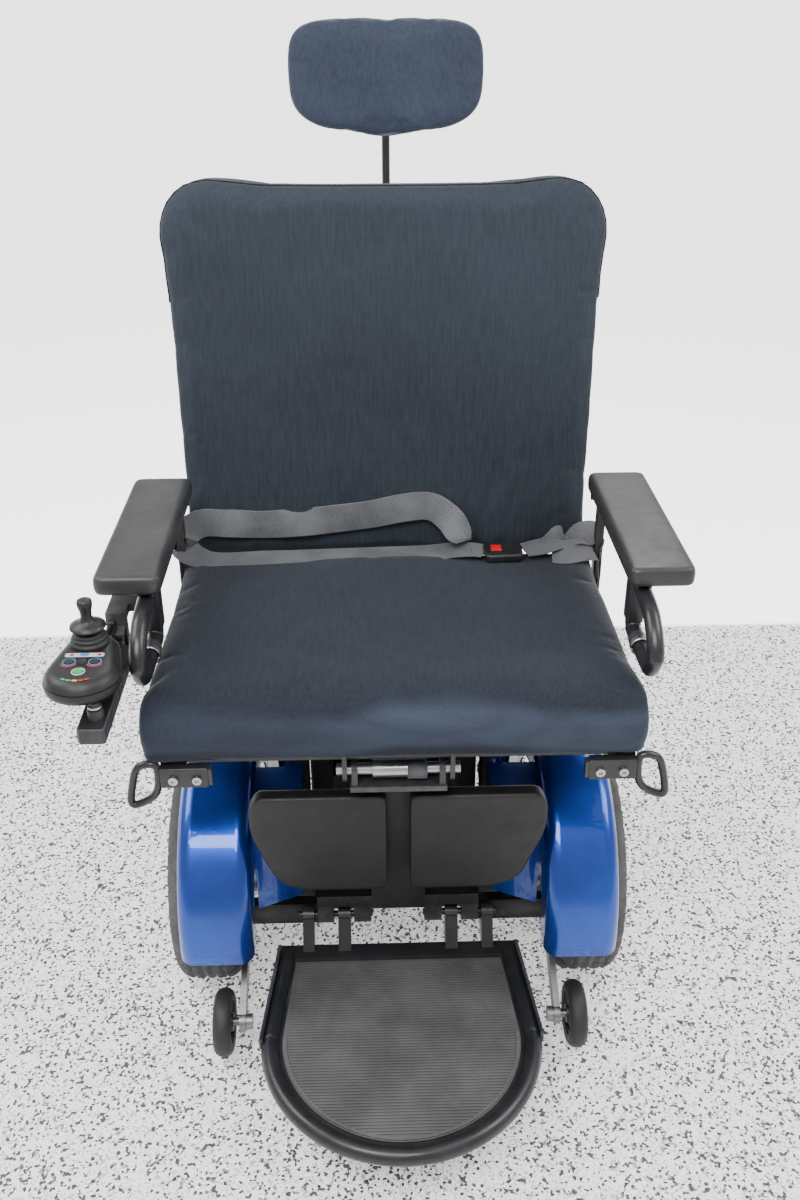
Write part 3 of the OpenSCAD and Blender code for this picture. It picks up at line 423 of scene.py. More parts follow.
def bare_metal(name, colour, rough=0.3, stretch=(4, 60, 60)):
    """Turned or brushed metal: fine lines one way, smudges, tone darker in random patches."""
    look = Look(name, rough=rough, metallic=1.0, Anisotropic=0.3)
    lines = look.noise(40, 4, 0.7, look.scaled(*stretch))
    smudge = look.noise(18, 5)
    shade = look.maths("ADD", look.maths("MULTIPLY", lines, 0.5), look.maths("MULTIPLY", smudge, 0.5))
    darker = tuple(c * 0.62 for c in colour[:3]) + (1,)
    look.set("Base Color", look.ramp(shade, (0.3, darker), (0.65, colour)))
    look.set("Roughness", look.ramp(smudge, (0.3, rough - 0.08), (0.75, rough + 0.18)))
    look.bump(lines, 0.15, 0.0001)
    return look.mat


def blue_paint():
    """Metallic blue under a clear coat, with fine flake."""
    look = Look("blue_paint", rough=0.3, metallic=0.75, Coat_Weight=0.8, Coat_Roughness=0.05,
        Specular_IOR_Level=0.5)
    flake = look.cells(2600)
    drift = look.noise(5, 3)
    tone = look.maths("ADD", look.maths("MULTIPLY", flake, 0.35), look.maths("MULTIPLY", drift, 0.65))
    colour = look.ramp(tone, (0.25, srgb(4, 34, 106)), (0.5, srgb(8, 56, 150)), (0.8, srgb(20, 94, 202)))
    scuff = look.maths("MULTIPLY", look.ramp(look.edges(), (0.54, 0.0), (0.7, 1.0)), look.noise(50, 4))
    look.set("Base Color", look.mix(colour, srgb(20, 40, 90), look.maths("MULTIPLY", scuff, 0.5)))
    look.set("Roughness", look.ramp(look.noise(12, 5), (0.3, 0.26), (0.8, 0.4)))
    look.bump(look.noise(60, 2), 0.05, 0.0004)
    return look.mat


def tyre_rubber(name, dark, light):
    """Grey solid-tyre rubber with floor dust in its grain."""
    look = Look(name, rough=0.82, Specular_IOR_Level=0.3)
    dust = look.noise(34, 6, 0.65)
    speck = look.noise(420, 2)
    tone = look.maths("ADD", look.maths("MULTIPLY", dust, 0.6), look.maths("MULTIPLY", speck, 0.4))
    look.set("Base Color", look.ramp(tone, (0.3, dark), (0.7, light)))
    look.bump(look.maths("ADD", look.noise(900, 2), look.noise(120, 3)), 0.4, 0.0004)
    return look.mat


def floor_look():
    """Pale speckled floor that turns to plain white behind the chair."""
    look = Look("floor", rough=0.55, Specular_IOR_Level=0.3)
    grain = look.cells(245.0, out=1)
    fine = look.cells(540.0, out=1)
    big = look.ramp(grain, (0.245, srgb(78, 77, 78)), (0.285, srgb(165, 163, 163)),
        (0.335, srgb(240, 239, 238)))
    small = look.ramp(fine, (0.23, srgb(150, 148, 148)), (0.3, srgb(255, 255, 255)))
    colour = look.mix(big, small, 0.8, "MULTIPLY")
    away = look.add("ShaderNodeSeparateXYZ", out=1, Vector=look.where)
    # A ramp runs from 0 to 1, so the distance is scaled: the white starts 0.95 m behind the middle
    wall = look.ramp(look.maths("MULTIPLY", away, 0.25), (0.2365, 0.0), (0.2375, 1.0))
    look.set("Base Color", look.mix(colour, (0.97, 0.97, 0.975, 1), wall))
    look.set("Emission Color", look.mix(look.mix((0, 0, 0, 1), colour, 0.33), (1.0, 1.0, 1.0, 1), wall))
    look.shader.inputs["Emission Strength"].default_value = 2.2
    look.bump(look.noise(300, 2), 0.05, 0.0003)
    return look.mat


seat_cloth = cloth("seat_cloth", srgb(25, 29, 38), srgb(37, 43, 54), along=(1, 0.12, 1), wave="X")
back_cloth = cloth("back_cloth", srgb(34, 39, 46), srgb(47, 54, 63), along=(1, 1, 0.1), wave="X")
head_cloth = cloth("head_cloth", srgb(34, 40, 52), srgb(50, 58, 72), along=(1, 1, 0.4), wave="X")
seam_thread = cloth("seam_thread", srgb(22, 25, 30), srgb(34, 38, 44), along=(1, 1, 1), wave="X")
belt_cloth = webbing("belt_cloth", srgb(52, 53, 57), srgb(104, 105, 109))
pad_urethane = moulded("pad_urethane", srgb(40, 41, 42), srgb(54, 54, 55), rough=0.4, grain=1100, wear=0.15)
calf_urethane = moulded("calf_urethane", srgb(16, 16, 17), srgb(25, 25, 26), rough=0.52, grain=1000, wear=0.15)
black_plastic = moulded("black_plastic", srgb(22, 22, 24), srgb(33, 33, 35), rough=0.42)
housing_plastic = moulded("housing_plastic", srgb(15, 15, 16), srgb(24, 24, 25), rough=0.46, grain=1400,
    wear=0.15)
black_rubber = moulded("black_rubber", srgb(24, 24, 25), srgb(36, 36, 37), rough=0.6, grain=700)
grey_mat_rubber = moulded("grey_mat_rubber", srgb(64, 63, 62), srgb(84, 83, 82), rough=0.66, grain=800)
red_plastic = moulded("red_plastic", srgb(172, 14, 18), srgb(205, 24, 26), rough=0.3, wear=0.1)
pale_plastic = moulded("pale_plastic", srgb(170, 172, 176), srgb(196, 198, 201), rough=0.4, wear=0.1)
blue_mark = moulded("blue_mark", srgb(40, 110, 170), srgb(60, 135, 195), rough=0.4, wear=0.05)
green_mark = moulded("green_mark", srgb(40, 150, 80), srgb(60, 175, 95), rough=0.4, wear=0.05)
yellow_mark = moulded("yellow_mark", srgb(220, 170, 40), srgb(235, 190, 60), rough=0.4, wear=0.05)
black_coat = coated("black_coat", srgb(30, 31, 33), srgb(56, 56, 58), rough=0.3)
frame_coat = coated("frame_coat", srgb(20, 20, 22), srgb(38, 38, 40), rough=0.45)
turned_steel = bare_metal("turned_steel", (0.55, 0.55, 0.56, 1))
cast_alloy = bare_metal("cast_alloy", (0.5, 0.5, 0.51, 1), rough=0.42, stretch=(20, 20, 20))
arm_steel = bare_metal("arm_steel", (0.3, 0.3, 0.31, 1), rough=0.4)
paint = blue_paint()
tyre_grey = tyre_rubber("tyre_grey", srgb(62, 63, 64), srgb(98, 98, 98))

# CAD nodes that keep their shape take these
KEEP = {
    "black_metal": frame_coat, "blue_shell": paint, "black_plastic": black_plastic,
        "grey_plastic": housing_plastic,
    "battery_case": black_plastic, "silver_metal": cast_alloy, "steel": turned_steel, "grey_tyre": tyre_grey,
    "black_rubber": black_rubber, "grey_rubber": grey_mat_rubber, "cushion_cloth": back_cloth,
        "webbing": belt_cloth,
    "arm_urethane": pad_urethane, "calf_urethane": calf_urethane, "red_plastic": red_plastic,
        "button_plastic": pale_plastic,
}
for entry in frame["record"]["subparts"]:
    node = frame["nodes"][entry["node"]]
    node.data.materials.clear()
    node.data.materials.append(KEEP[entry["material_slot"]])
    node.data.shade_smooth()
    node.data.set_sharp_from_angle(angle=math.radians(32))
for name in ("footplate", "tie_down_left", "tie_down_right", "arm_frame_left", "arm_frame_right"):
    frame["nodes"][name].data.materials[0] = black_coat
for name in ("antitip_arm_left", "antitip_arm_right"):
    frame["nodes"][name].data.materials[0] = arm_steel
# ---------- Soft goods ----------

LEAN = math.radians(5)
CLOTH_FRAMES = 20
CLOTH_PRESSURE = 4.0
HINGE = joint["back_recline"]["pos_m"]
HINGE_Y = (HINGE[1] - AXLE_Y) * 1000
HINGE_Z = HINGE[2] * 1000


def on_back(x, y, z):
    """A point of the leaning backrest's own frame, as millimetres from the axle."""
    c, s = math.cos(LEAN), math.sin(LEAN)
    return (x, HINGE_Y + y * c + z * s, HINGE_Z - y * s + z * c)


def from_back(v):
    """The reverse of on_back, from a point in the row frame."""
    c, s = math.cos(LEAN), math.sin(LEAN)
    y, z = (v.y - AXLE_Y) * 1000 - HINGE_Y, v.z * 1000 - HINGE_Z
    return (v.x - MID_X) * 1000, y * c - z * s, y * s + z * c


def to_mm(v):
    return (v.x - MID_X) * 1000, (v.y - AXLE_Y) * 1000, v.z * 1000


def baked(obj):
    """Applies the modifiers."""
    graph = bpy.context.evaluated_depsgraph_get()
    mesh = bpy.data.meshes.new_from_object(obj.evaluated_get(graph))
    obj.modifiers.clear()
    obj.data = mesh
    return obj


def swell(obj, voxel, cap):
    """Remeshes a closed shape and blows it up as cloth, by no more than cap metres."""
    scene = bpy.context.scene
    mod = obj.modifiers.new("remesh", "REMESH")
    mod.mode = "VOXEL"
    mod.voxel_size = voxel
    baked(obj)
    rest = [v.co.copy() for v in obj.data.vertices]
    scene.frame_set(1)
    mod = obj.modifiers.new("cloth", "CLOTH")
    mod.settings.quality = 5
    mod.settings.use_pressure = True
    mod.settings.uniform_pressure_force = CLOTH_PRESSURE
    mod.settings.tension_stiffness = 12
    mod.settings.compression_stiffness = 12
    mod.settings.bending_stiffness = 1.5
    mod.settings.effector_weights.gravity = 0
    for frame_number in range(1, CLOTH_FRAMES + 1):
        scene.frame_set(frame_number)
    baked(obj)
    scene.frame_set(1)
    for v, p in zip(obj.data.vertices, rest):
        move = v.co - p
        far = move.length
        if far > 1e-9:
            v.co = p + move * (cap * (1 - math.exp(-far / cap)) / far)
    return obj


def smooth_step(a, b, x):
    t = min(1, max(0, (x - a) / (b - a)))
    return t * t * (3 - 2 * t)


def crease(x, z, a, b, width):
    """1 on the line from a to b, falling to 0 a few widths away."""
    ab = (b[0] - a[0], b[1] - a[1])
    t = max(0, min(1, ((x - a[0]) * ab[0] + (z - a[1]) * ab[1]) / (ab[0] ** 2 + ab[1] ** 2)))
    d = math.hypot(x - a[0] - t * ab[0], z - a[1] - t * ab[1])
    return math.exp(-((d / width) ** 2)) * math.sin(math.pi * max(0.08, t)) ** 0.5


def store_painted_light(obj, strength, name="band"):
    """Stores at each point how far a painted highlight pales the cloth, or how far painted shade darkens it."""
    layer = obj.data.attributes.new(name, "FLOAT", "POINT")
    for i, v in enumerate(obj.data.vertices):
        layer.data[i].value = strength(v.co)


def subdivided(obj, levels=1):
    mod = obj.modifiers.new("smooth", "SUBSURF")
    mod.levels = levels
    mod.render_levels = levels
    return baked(obj)


def shape(obj, change):
    """Moves every point by a function of its place in millimetres."""
    for v in obj.data.vertices:
        v.co = at(*change(*to_mm(v.co)))
    obj.data.update()
    return obj


# Seat cushion: a crowned slab with a deep rolled front and a tucked lower edge
low, high = mm("seat_cushion")
half_w, mid_x, top_z, bottom_z = high.x + 13, -5, high.z - 5, low.z + 1
rear_y, nose_y = high.y - 4, low.y + 5
roll = 44
profile = [(rear_y - 10, bottom_z), (rear_y, bottom_z + 10), (rear_y, top_z - 24), (rear_y - 12, top_z - 12)]
profile += [(nose_y + roll + 60, top_z - 2)]
for k in range(11):
    a = math.radians(90 + 15.2 * k)
    profile.append((nose_y + roll + roll * math.cos(a), top_z - roll + roll * math.sin(a)))
profile += [(nose_y + 2, bottom_z + 8), (nose_y + 10, bottom_z)]
seat = slab("seat_cushion_cover", profile, side, mid_x - half_w, mid_x + half_w, bevel=13, segments=4)
swell(seat, 0.006, 0.009)


def seat_shape(x, y, z):
    u = (x - mid_x) / half_w
    crown = 1 - min(1, abs(u)) ** 3
    if z > 560:
        z += 2.5 * crown * smooth_step(560, 600, z)
        z -= 1.6 * crease(x, y, (-210, -60), (-40, -130), 26) + 1.2 * crease(x, y, (60, -140), (215, -90), 30)
    # Soft pulls in the front roll
    front_part = smooth_step(-150, -215, y)
    tug = noise.noise(Vector((x / 55, z / 70, 3.1))) + 0.5 * noise.noise(Vector((x / 22, z / 40, 8.4)))
    y += front_part * 1.5 * tug
    z += front_part * 0.8 * noise.noise(Vector((x / 40, y / 60, 5.7)))
    # The cover pulls in below the roll, between its lower corners
    if y < -150:
        y += 2.0 * smooth_step(560, 525, z) * crown
    # Rests flat on the pan, and stays in front of the backrest
    return x, min(y, high.y + 3), max(z, low.z + 0.3)


shape(seat, seat_shape)
subdivided(seat)


# Painted highlight on the seat's front roll: a pale wavy strip in patches, stronger towards +x.
def seat_painted_highlight(co):
    x, y, z = to_mm(co)
    wave = 9 * math.sin(x / 62 + 0.6) + 7 * noise.noise(Vector((x / 70, 0.3, 1.0)))
    along = smooth_step(-120, -200, y)
    strip = smooth_step(526 + wave, 546 + wave, z) * (1 - smooth_step(582 + wave, 602 + wave, z))
    patchy = 0.5 + 0.5 * abs(noise.noise(Vector((x / 90, z / 30, 2.2))))
    return along * strip * patchy * (0.22 + 0.28 * smooth_step(-200, 80, x))


store_painted_light(seat, seat_painted_highlight)
piece(seat, "chassis", "cushion_cloth", seat_cloth, "seat_cushion")


# Back cushion: boxed, puffed at its upper corners, narrower at the waist
b_half, b_low, b_high, b_corner = 323, 66, 640, 78
BACK_SHIFT = -5
outline = []
for k in range(9):
    a = math.radians(90 * k / 8)
    outline.append((b_half - b_corner + b_corner * math.cos(a), b_high - b_corner + b_corner * math.sin(a)))
outline += [(-u, v) for u, v in outline[::-1]]
outline += [(-b_half + 1, 300), (-b_half + 6, b_low + 30), (-b_half + 34, b_low), (b_half - 34, b_low),
    (b_half - 6, b_low + 30), (b_half - 1, 300)]
back = slab("back_cushion_cover", outline, lambda u, v, w: on_back(u + BACK_SHIFT, w, v), -53, 19, bevel=9,
    segments=3)
swell(back, 0.006, 0.011)
# Creases of the cover: from, to, width and depth
CREASES = [
    ((128, 84), (168, 236), 11, 7.0), ((172, 96), (196, 205), 10, 6.0), ((118, 84), (52, 138), 13, 4.0),
    ((205, 84), (270, 150), 12, 5.0), ((222, 92), (246, 190), 9, 3.0), ((-150, 80), (-205, 150), 14, 2.0),
    ((-60, 76), (30, 96), 12, 1.8), ((250, 560), (292, 600), 12, 2.5), ((-250, 560), (-292, 600), 12, 2.5),
]
for v in back.data.vertices:
    x, y, z = from_back(v.co)
    ear = smooth_step(480, 610, z) * smooth_step(150, 290, abs(x))
    x += math.copysign(4.0, x) * ear * smooth_step(200, 300, abs(x))
    z += 5 * ear * smooth_step(560, 620, z)
    z -= 3.0 * smooth_step(600, 640, z) * (1 - smooth_step(60, 240, abs(x)))
    if y < -20:
        y += sum(
            deep * crease(x, z, a, b, wide) - 0.6 * deep * crease(x + 12, z + 8, a, b, wide)
            for a, b, wide, deep in CREASES)
        y += 1.2 * noise.noise(Vector((x / 160, z / 200, 0.7)))
        # The lower part bears on the seat's rear edge
        y = max(y, -62 + 2 * smooth_step(160, 90, z))
    # Flat against its shell, and clear of the seat
    v.co = at(*on_back(x, min(y, 21.6), max(z, 60.5)))
back.data.update()
subdivided(back)


# Painted light on the back cushion: its front face pales towards the top, where the lamps above light it; the
# boxing strip pales only a little.
def back_painted_highlight(co):
    x, y, z = from_back(co)
    edge = smooth_step(-44, -36, y)
    return edge * 0.02 + 0.05 * smooth_step(250, 620, z) * (1 - edge)


store_painted_light(back, back_painted_highlight)
# Painted shade: the boxing strip round the top and sides is darkened against the lamps above.
store_painted_light(back, lambda co: 0.62 * smooth_step(-44, -36, from_back(co)[1]), "shade")
piece(back, "backrest", "cushion_cloth", back_cloth, "back_cushion")


def tree_of(obj):
    return BVHTree.FromPolygons([v.co.copy() for v in obj.data.vertices],
        [p.vertices[:] for p in obj.data.polygons])


seat_tree, back_tree = tree_of(seat), tree_of(back)


def seat_top(x, y):
    hit = seat_tree.ray_cast(at(x, y, 800), Vector((0, 0, -1)))[0]
    return hit.z * 1000 if hit else 600.0


def back_face(x, z):
    hit = back_tree.ray_cast(at(x, -200, z), Vector((0, 1, 0)))[0]
    return (hit.y - AXLE_Y) * 1000 if hit else 246.0


# The sewn seam where the front panel meets the boxing strip: up one side, over the top and down the other
SIDE_SEAM_LOW = 470
seam_line = []
for k in range(61):
    t = k / 60
    if t < 0.2:
        u, v = -b_half - 3, SIDE_SEAM_LOW + (b_high - b_corner - SIDE_SEAM_LOW) * t / 0.2
    elif t < 0.32:
        a = math.radians(180 - 90 * (t - 0.2) / 0.12)
        u = -b_half + b_corner + (b_corner + 3) * math.cos(a)
        v = b_high - b_corner + (b_corner + 4) * math.sin(a)
    elif t <= 0.68:
        u, v = (b_half - b_corner) * (2 * (t - 0.32) / 0.36 - 1), b_high + 3
    elif t < 0.8:
        a = math.radians(90 - 90 * (t - 0.68) / 0.12)
        u = b_half - b_corner + (b_corner + 3) * math.cos(a)
        v = b_high - b_corner + (b_corner + 4) * math.sin(a)
    else:
        u, v = b_half + 3, SIDE_SEAM_LOW + (b_high - b_corner - SIDE_SEAM_LOW) * (1 - t) / 0.2
    hit = back_tree.find_nearest(at(*on_back(u + BACK_SHIFT, -46, v)))
    seam_line.append(Vector(to_mm(hit[0] + hit[1] * 0.0004)))
seam = sweep("back_cushion_seam", seam_line, circle(1.5, 8), (0, -0.7, 0.7))
piece(seam, "backrest", "cushion_cloth", seam_thread)

# Headrest pad: flat along its top, fuller below
h_low, h_high = 702, 835
h_mid = (h_low + h_high) / 2
outline = []
for k in range(48):
    a = 2 * math.pi * k / 48
    c, s = math.cos(a), math.sin(a)
    e, f = (0.42, 0.48) if s > 0 else (0.62, 0.74)
    outline.append((135 * math.copysign(abs(c) ** f, c), h_mid + 74 * math.copysign(abs(s) ** e, s)))
head = slab("headrest_cover", outline, lambda u, v, w: on_back(u, w, v), -48, -7, bevel=13, segments=4)
swell(head, 0.0045, 0.007)
for v in head.data.vertices:
    x, y, z = from_back(v.co)
    z += -4.0 * smooth_step(60, 0, abs(x)) * smooth_step(h_mid, h_low, z)
    y += 6.0 * (x / 136) ** 2
    y += 0.7 * noise.noise(Vector((x / 30, z / 30, 4.0)))
    v.co = at(*on_back(x, min(y, 6), z))
head.data.update()
subdivided(head)
# Painted highlight on the headrest: a little paler all over, more towards its lower half.
store_painted_light(head, lambda co: 0.03 + 0.05 * smooth_step(h_mid, h_low, from_back(co)[2]))
piece(head, "headrest", "cushion_cloth", head_cloth, "headrest_pad")

# ---------- Arm pads and calf pads ----------

for name, body in (("arm_pad_left", "armrest_left"), ("arm_pad_right", "armrest_right")):
    low, high = mm(name)
    w, d = high.x - low.x, high.y - low.y
    mid_x, mid_y = (low.x + high.x) / 2, (low.y + high.y) / 2
    outline = [(u + mid_x, v + mid_y) for u, v in round_rect(w, d, 11, 8)]
    pad = slab(name + "_skin", outline, plan, low.z + 0.3, high.z - 0.6, bevel=7.5, segments=5)
    mod = pad.modifiers.new("grid", "REMESH")
    mod.mode = "VOXEL"
    mod.voxel_size = 0.004
    baked(pad)

    def crowned(x, y, z):
        u, v = abs(x - mid_x) / (w / 2), abs(y - mid_y) / (d / 2)
        lift = smooth_step(low.z + 10, high.z - 4, z) * (1 - min(1, u) ** 4) * (1 - min(1, v) ** 8)
        return x, y, z + 1.6 * lift

    for _ in range(2):
        near = [[] for _ in pad.data.vertices]
        for e in pad.data.edges:
            near[e.vertices[0]].append(e.vertices[1])
            near[e.vertices[1]].append(e.vertices[0])
        old = [v.co.copy() for v in pad.data.vertices]
        for v in pad.data.vertices:
            v.co = old[v.index] * 0.5 + sum((old[i] for i in near[v.index]),
                Vector()) * (0.5 / len(near[v.index]))
    shape(pad, crowned)
    subdivided(pad)
    piece(pad, body, "arm_urethane", pad_urethane, name)


def calf_outline(inner_x, top_z):
    """The calf pad's outline in [x, z]: square at the top, swept in at its lower outer corner."""
    w, h = 188, 165
    corner = [(0, 0), (w * 0.62, 0), (w * 0.82, h * 0.1), (w, h * 0.62), (w, h * 0.88), (w * 0.94, h), (0, h)]
    pts = []
    r = [14, 30, 20, 26, 18, 16, 14]
    n = len(corner)
    for i, (x, z) in enumerate(corner):
        a = Vector(corner[i - 1]) - Vector((x, z))
        b = Vector(corner[(i + 1) % n]) - Vector((x, z))
        k = min(r[i], a.length * 0.45, b.length * 0.45)
        p, q = Vector((x, z)) + a.normalized() * k, Vector((x, z)) + b.normalized() * k
        for j in range(7):
            t = j / 6
            pts.append((p * (1 - t) ** 2 + Vector((x, z)) * 2 * t * (1 - t) + q * t**2))
    return [(inner_x + p.x, top_z - h + p.y) for p in pts]


CALF_X, CALF_Z = 52, 262
low, high = mm("calf_pad_left")
pad = slab("calf_pad_left_skin", calf_outline(low.x, high.z - 5), front, low.y + 0.4, low.y + 24.6, bevel=7,
    segments=5)
pad.data.set_sharp_from_angle(angle=math.radians(60))
other = mirrored(pad, "calf_pad_right_skin")
for obj, name, body in ((pad, "calf_pad_left", "calf_left"), (other, "calf_pad_right", "calf_right")):
    bm = bmesh.new()
    brick((CALF_X - 9, low.y + 24.4, CALF_Z + 54), (CALF_X + 62, low.y + 29, CALF_Z + 140), 1.5, bm=bm)
    brick((CALF_X - 8, low.y + 26, CALF_Z + 80), (CALF_X + 8, -110, CALF_Z + 118), 1.5, bm=bm)
    bracket = from_bmesh(name + "_bracket", bm)
    if name.endswith("right"):
        flipped = mirrored(bracket, name + "_bracket_r")
        bpy.data.objects.remove(bracket)
        bracket = flipped
        bracket.name = name + "_bracket"
    piece(sharp(bracket), body, "black_metal", frame_coat)
    piece(obj, body, "calf_urethane", calf_urethane, name)

# ---------- Lap belt ----------

STRAP = [(-22, -0.9), (-21, -1.1), (21, -1.1), (22, -0.9), (22, 0.9), (21, 1.1), (-21, 1.1), (-22, 0.9)]


def strap(name, points, ups):
    """A flat strap through points; ups give the direction of its width at each."""
    obj = sweep(name, curve_through(points, 5), STRAP, curve_through(ups, 5))
    return piece(obj, "chassis", "webbing", belt_cloth)


def leaned(x, z, off=2.6):
    """A point on the back cushion's face, off millimetres in front of it."""
    return (x, min(back_face(x, z) - off, 246), z)


def laid(x, y, off=2.0):
    """A point off millimetres above the seat cushion."""
    return (x, y, seat_top(x, y) + off)


upper = [
    (-322, 218, 600), (-325, 232, 622), leaned(-296, 640, 6), leaned(-250, 640, 5), leaned(-200, 637),
    leaned(-140, 640, 3.5), leaned(-97, 644), leaned(-30, 652), leaned(20, 662, 4), leaned(62, 664, 7),
    (90, 226, 652), (104, 214, 634), (112, 205, 622),
]
ups = [(0, 1, 0.2), (0.2, 0.7, 0.7), (0, 0.3, 1), (0, 0.35, 1), (0, 0.1, 1), (0, 0.45, 1), (0.1, 0.2, 1),
    (0.15, 0.15, 1), (0.1, 0.3, 1), (0.3, 0.2, 1), (0.7, 0.1, 0.7), (0.8, 0.5, 0.3), (0.3, 0.95, 0.1)]
strap_upper = strap("belt_strap_upper", upper, ups)
lower = [(-318, 222, 628), (-316, 206, 616), laid(-292, 198, 5), laid(-262, 196), laid(-200, 198),
    laid(-144, 202), laid(-60, 206), laid(11, 210, 2.5), laid(60, 210, 4), (98, 204, seat_top(98, 204) + 9),
    (128, 196, 612), (143, 191, 612)]
ups = [(0, 0.3, 1), (0.1, 0.8, 0.6), (0.15, 1, 0.25), (0.1, 1, 0), (0, 1, 0.02), (0, 1, 0), (0, 1, 0.05),
    (0, 1, 0.1), (0, 1, 0.15), (0.1, 1, 0.1), (0, 1, 0), (0, 1, 0)]
strap("belt_strap_lower", lower, ups)
left = [(322, 214, 598), (325, 226, 622), (300, 222, 624), (278, 214, 618), (262, 208, 624), (244, 202, 617),
    (228, 198, 614), (204, 192, 612)]
ups = [(0, 1, 0.1), (0, 0.9, 0.4), (0.1, 0.8, 0.5), (-0.2, 0.9, -0.1), (0.3, 0.8, 0.5), (-0.2, 1, 0.1),
    (0.1, 1, 0.1), (0, 1, 0)]
strap("belt_strap_left", left, ups)
end = [(246, 184, 609), (268, 182, 613), (296, 190, 612), (316, 206, 600), (323, 213, 560)]
strap("belt_strap_end", end, [(0.1, 1, 0.2), (0, 0.9, 0.5), (0, 1, 0.3), (0, 1, 0.1), (0, 1, 0)])
RISER = [(304.5, 212, 508), (312, 212, 516), (322, 213, 528), (325, 213, 560), (325, 214, 602)]
for side_name, s in (("right", -1), ("left", 1)):
    strap("belt_riser_" + side_name, [(s * x, y, z) for x, y, z in RISER], [(0, 1, 0)] * len(RISER))
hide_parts("belt_straps")

# Buckle: a tapered shell with a raised frame round its button, and the steel tongue
outline = [(u * (1.0 if u < 0 else 0.9), v) for u, v in round_rect(62, 50, 10, 6)]
outline = [(u + 173, v * (1.0 if u < 0 else 0.92) + 190) for u, v in outline]
shell = slab("buckle_shell", outline, plan, 603.5, 617, bevel=4.5, segments=4)
bm = bmesh.new()
# Four sides of the key's frame, then two grip ribs: x and y from and to, and top
RIMS = [
    (149.5, 151.5, 178, 202, 618.6), (169.5, 171.5, 178, 202, 618.6), (149.5, 171.5, 178, 180, 618.6),
    (149.5, 171.5, 200, 202, 618.6), (190, 192, 172, 208, 617.8), (195, 197, 174, 206, 617.6),
]
for x0, x1, y0, y1, top in RIMS:
    brick((x0, y0, 615), (x1, y1, top), 0.7, 2, bm=bm)
rim = from_bmesh("buckle_rim", bm)
buckle = join("buckle_body", shell, rim)
piece(sharp(buckle, 40), "chassis", "black_plastic", black_plastic, "belt_buckle")
bm = bmesh.new()
brick((152, 180.5, 613), (169, 199.5, 619), 1.8, 3, bm=bm)
brick((158, 187, 618.2), (163, 193, 619.8), 0.7, 2, bm=bm)
piece(sharp(from_bmesh("buckle_red_key", bm), 50), "buckle_key", "red_plastic", red_plastic, "buckle_button")
bm = bmesh.new()
brick((122, 176, 610.4), (146, 204, 612.8), 1.0, 2, bm=bm)
piece(from_bmesh("belt_tongue", bm), "chassis", "steel", turned_steel)

# ---------- Wheels ----------


def treaded(name, centre, radius, width, bore, body, node, tread, n, side_r):
    """A tyre whose tread function gives the groove's depth at (turn, across)."""
    rings = []
    profile = []
    half = width / 2
    for k in range(5):
        profile.append((bore, -half * 0.84 + k * half * 0.42, 0))
    profile += [(bore + 10, half * 0.9, 0), (bore + 24, half, 0)]
    for k in range(9):
        a = math.radians(90 * k / 8)
        profile.append((radius - side_r + side_r * math.sin(a), half - side_r + side_r * math.cos(a), 1))
    flat = half - side_r
    steps = max(6, int(flat * 2 / 3.4))
    for k in range(1, steps):
        profile.append((radius + 0.6 * (1 - (2 * k / steps - 1) ** 2), flat - 2 * flat * k / steps, 1))
    for k in range(9):
        a = math.radians(90 - 90 * k / 8)
        profile.append((radius - side_r + side_r * math.sin(a), -half + side_r - side_r * math.cos(a), 1))
    profile += [(bore + 24, -half, 0), (bore + 10, -half * 0.9, 0)]
    for k in range(n):
        turn = k / n
        a = 2 * math.pi * turn
        ring = []
        for r, h, live in profile:
            q = r - (tread(turn, h, r) if live else 0)
            ring.append(Vector((centre[0] + h, centre[1] + q * math.cos(a), centre[2] + q * math.sin(a))))
        rings.append(ring)
    obj = from_rings(name, rings, closed=True)
    sharp(obj, 50)
    return piece(obj, body, "grey_tyre", tyre_grey, node)


def blocks(turn, h, r):
    """Staggered blocks: two ribs round the middle, lugs cut across the shoulders."""
    if r < 150:
        return 0
    deep = 0
    if abs(abs(h) - 7) < 2.2 or abs(abs(h) - 24) < 2.2:
        deep = 3.6
    row = 0.5 if abs(h) > 24 else 0.0
    skew = h * 0.012
    pitch = (turn * 40 + skew * (1 if h > 0 else -1) + row) % 1
    if abs(h) > 9 and pitch < 0.26:
        deep = max(deep, 3.2)
    return deep


def ribs(turn, h, r):
    return 1.8 if abs(abs(h) - 6) < 1.6 and r > 60 else 0


for side_name, s in (("left", 1), ("right", -1)):
    low, high = mm("drive_tyre_" + side_name)
    centre = ((low.x + high.x) / 2, 0, (low.z + high.z) / 2)
    treaded("drive_tyre_%s_tread" % side_name, centre, radius=177.4, width=94, bore=110,
            body="drive_wheel_" + side_name, node="drive_tyre_" + side_name, tread=blocks, n=320, side_r=24)
    low, high = mm("caster_tyre_" + side_name)
    centre = ((low.x + high.x) / 2, (low.y + high.y) / 2, (low.z + high.z) / 2)
    treaded("caster_tyre_%s_tread" % side_name, centre, radius=74.4, width=39.6, bore=51,
            body="caster_wheel_" + side_name, node="caster_tyre_" + side_name, tread=ribs, n=96, side_r=9)

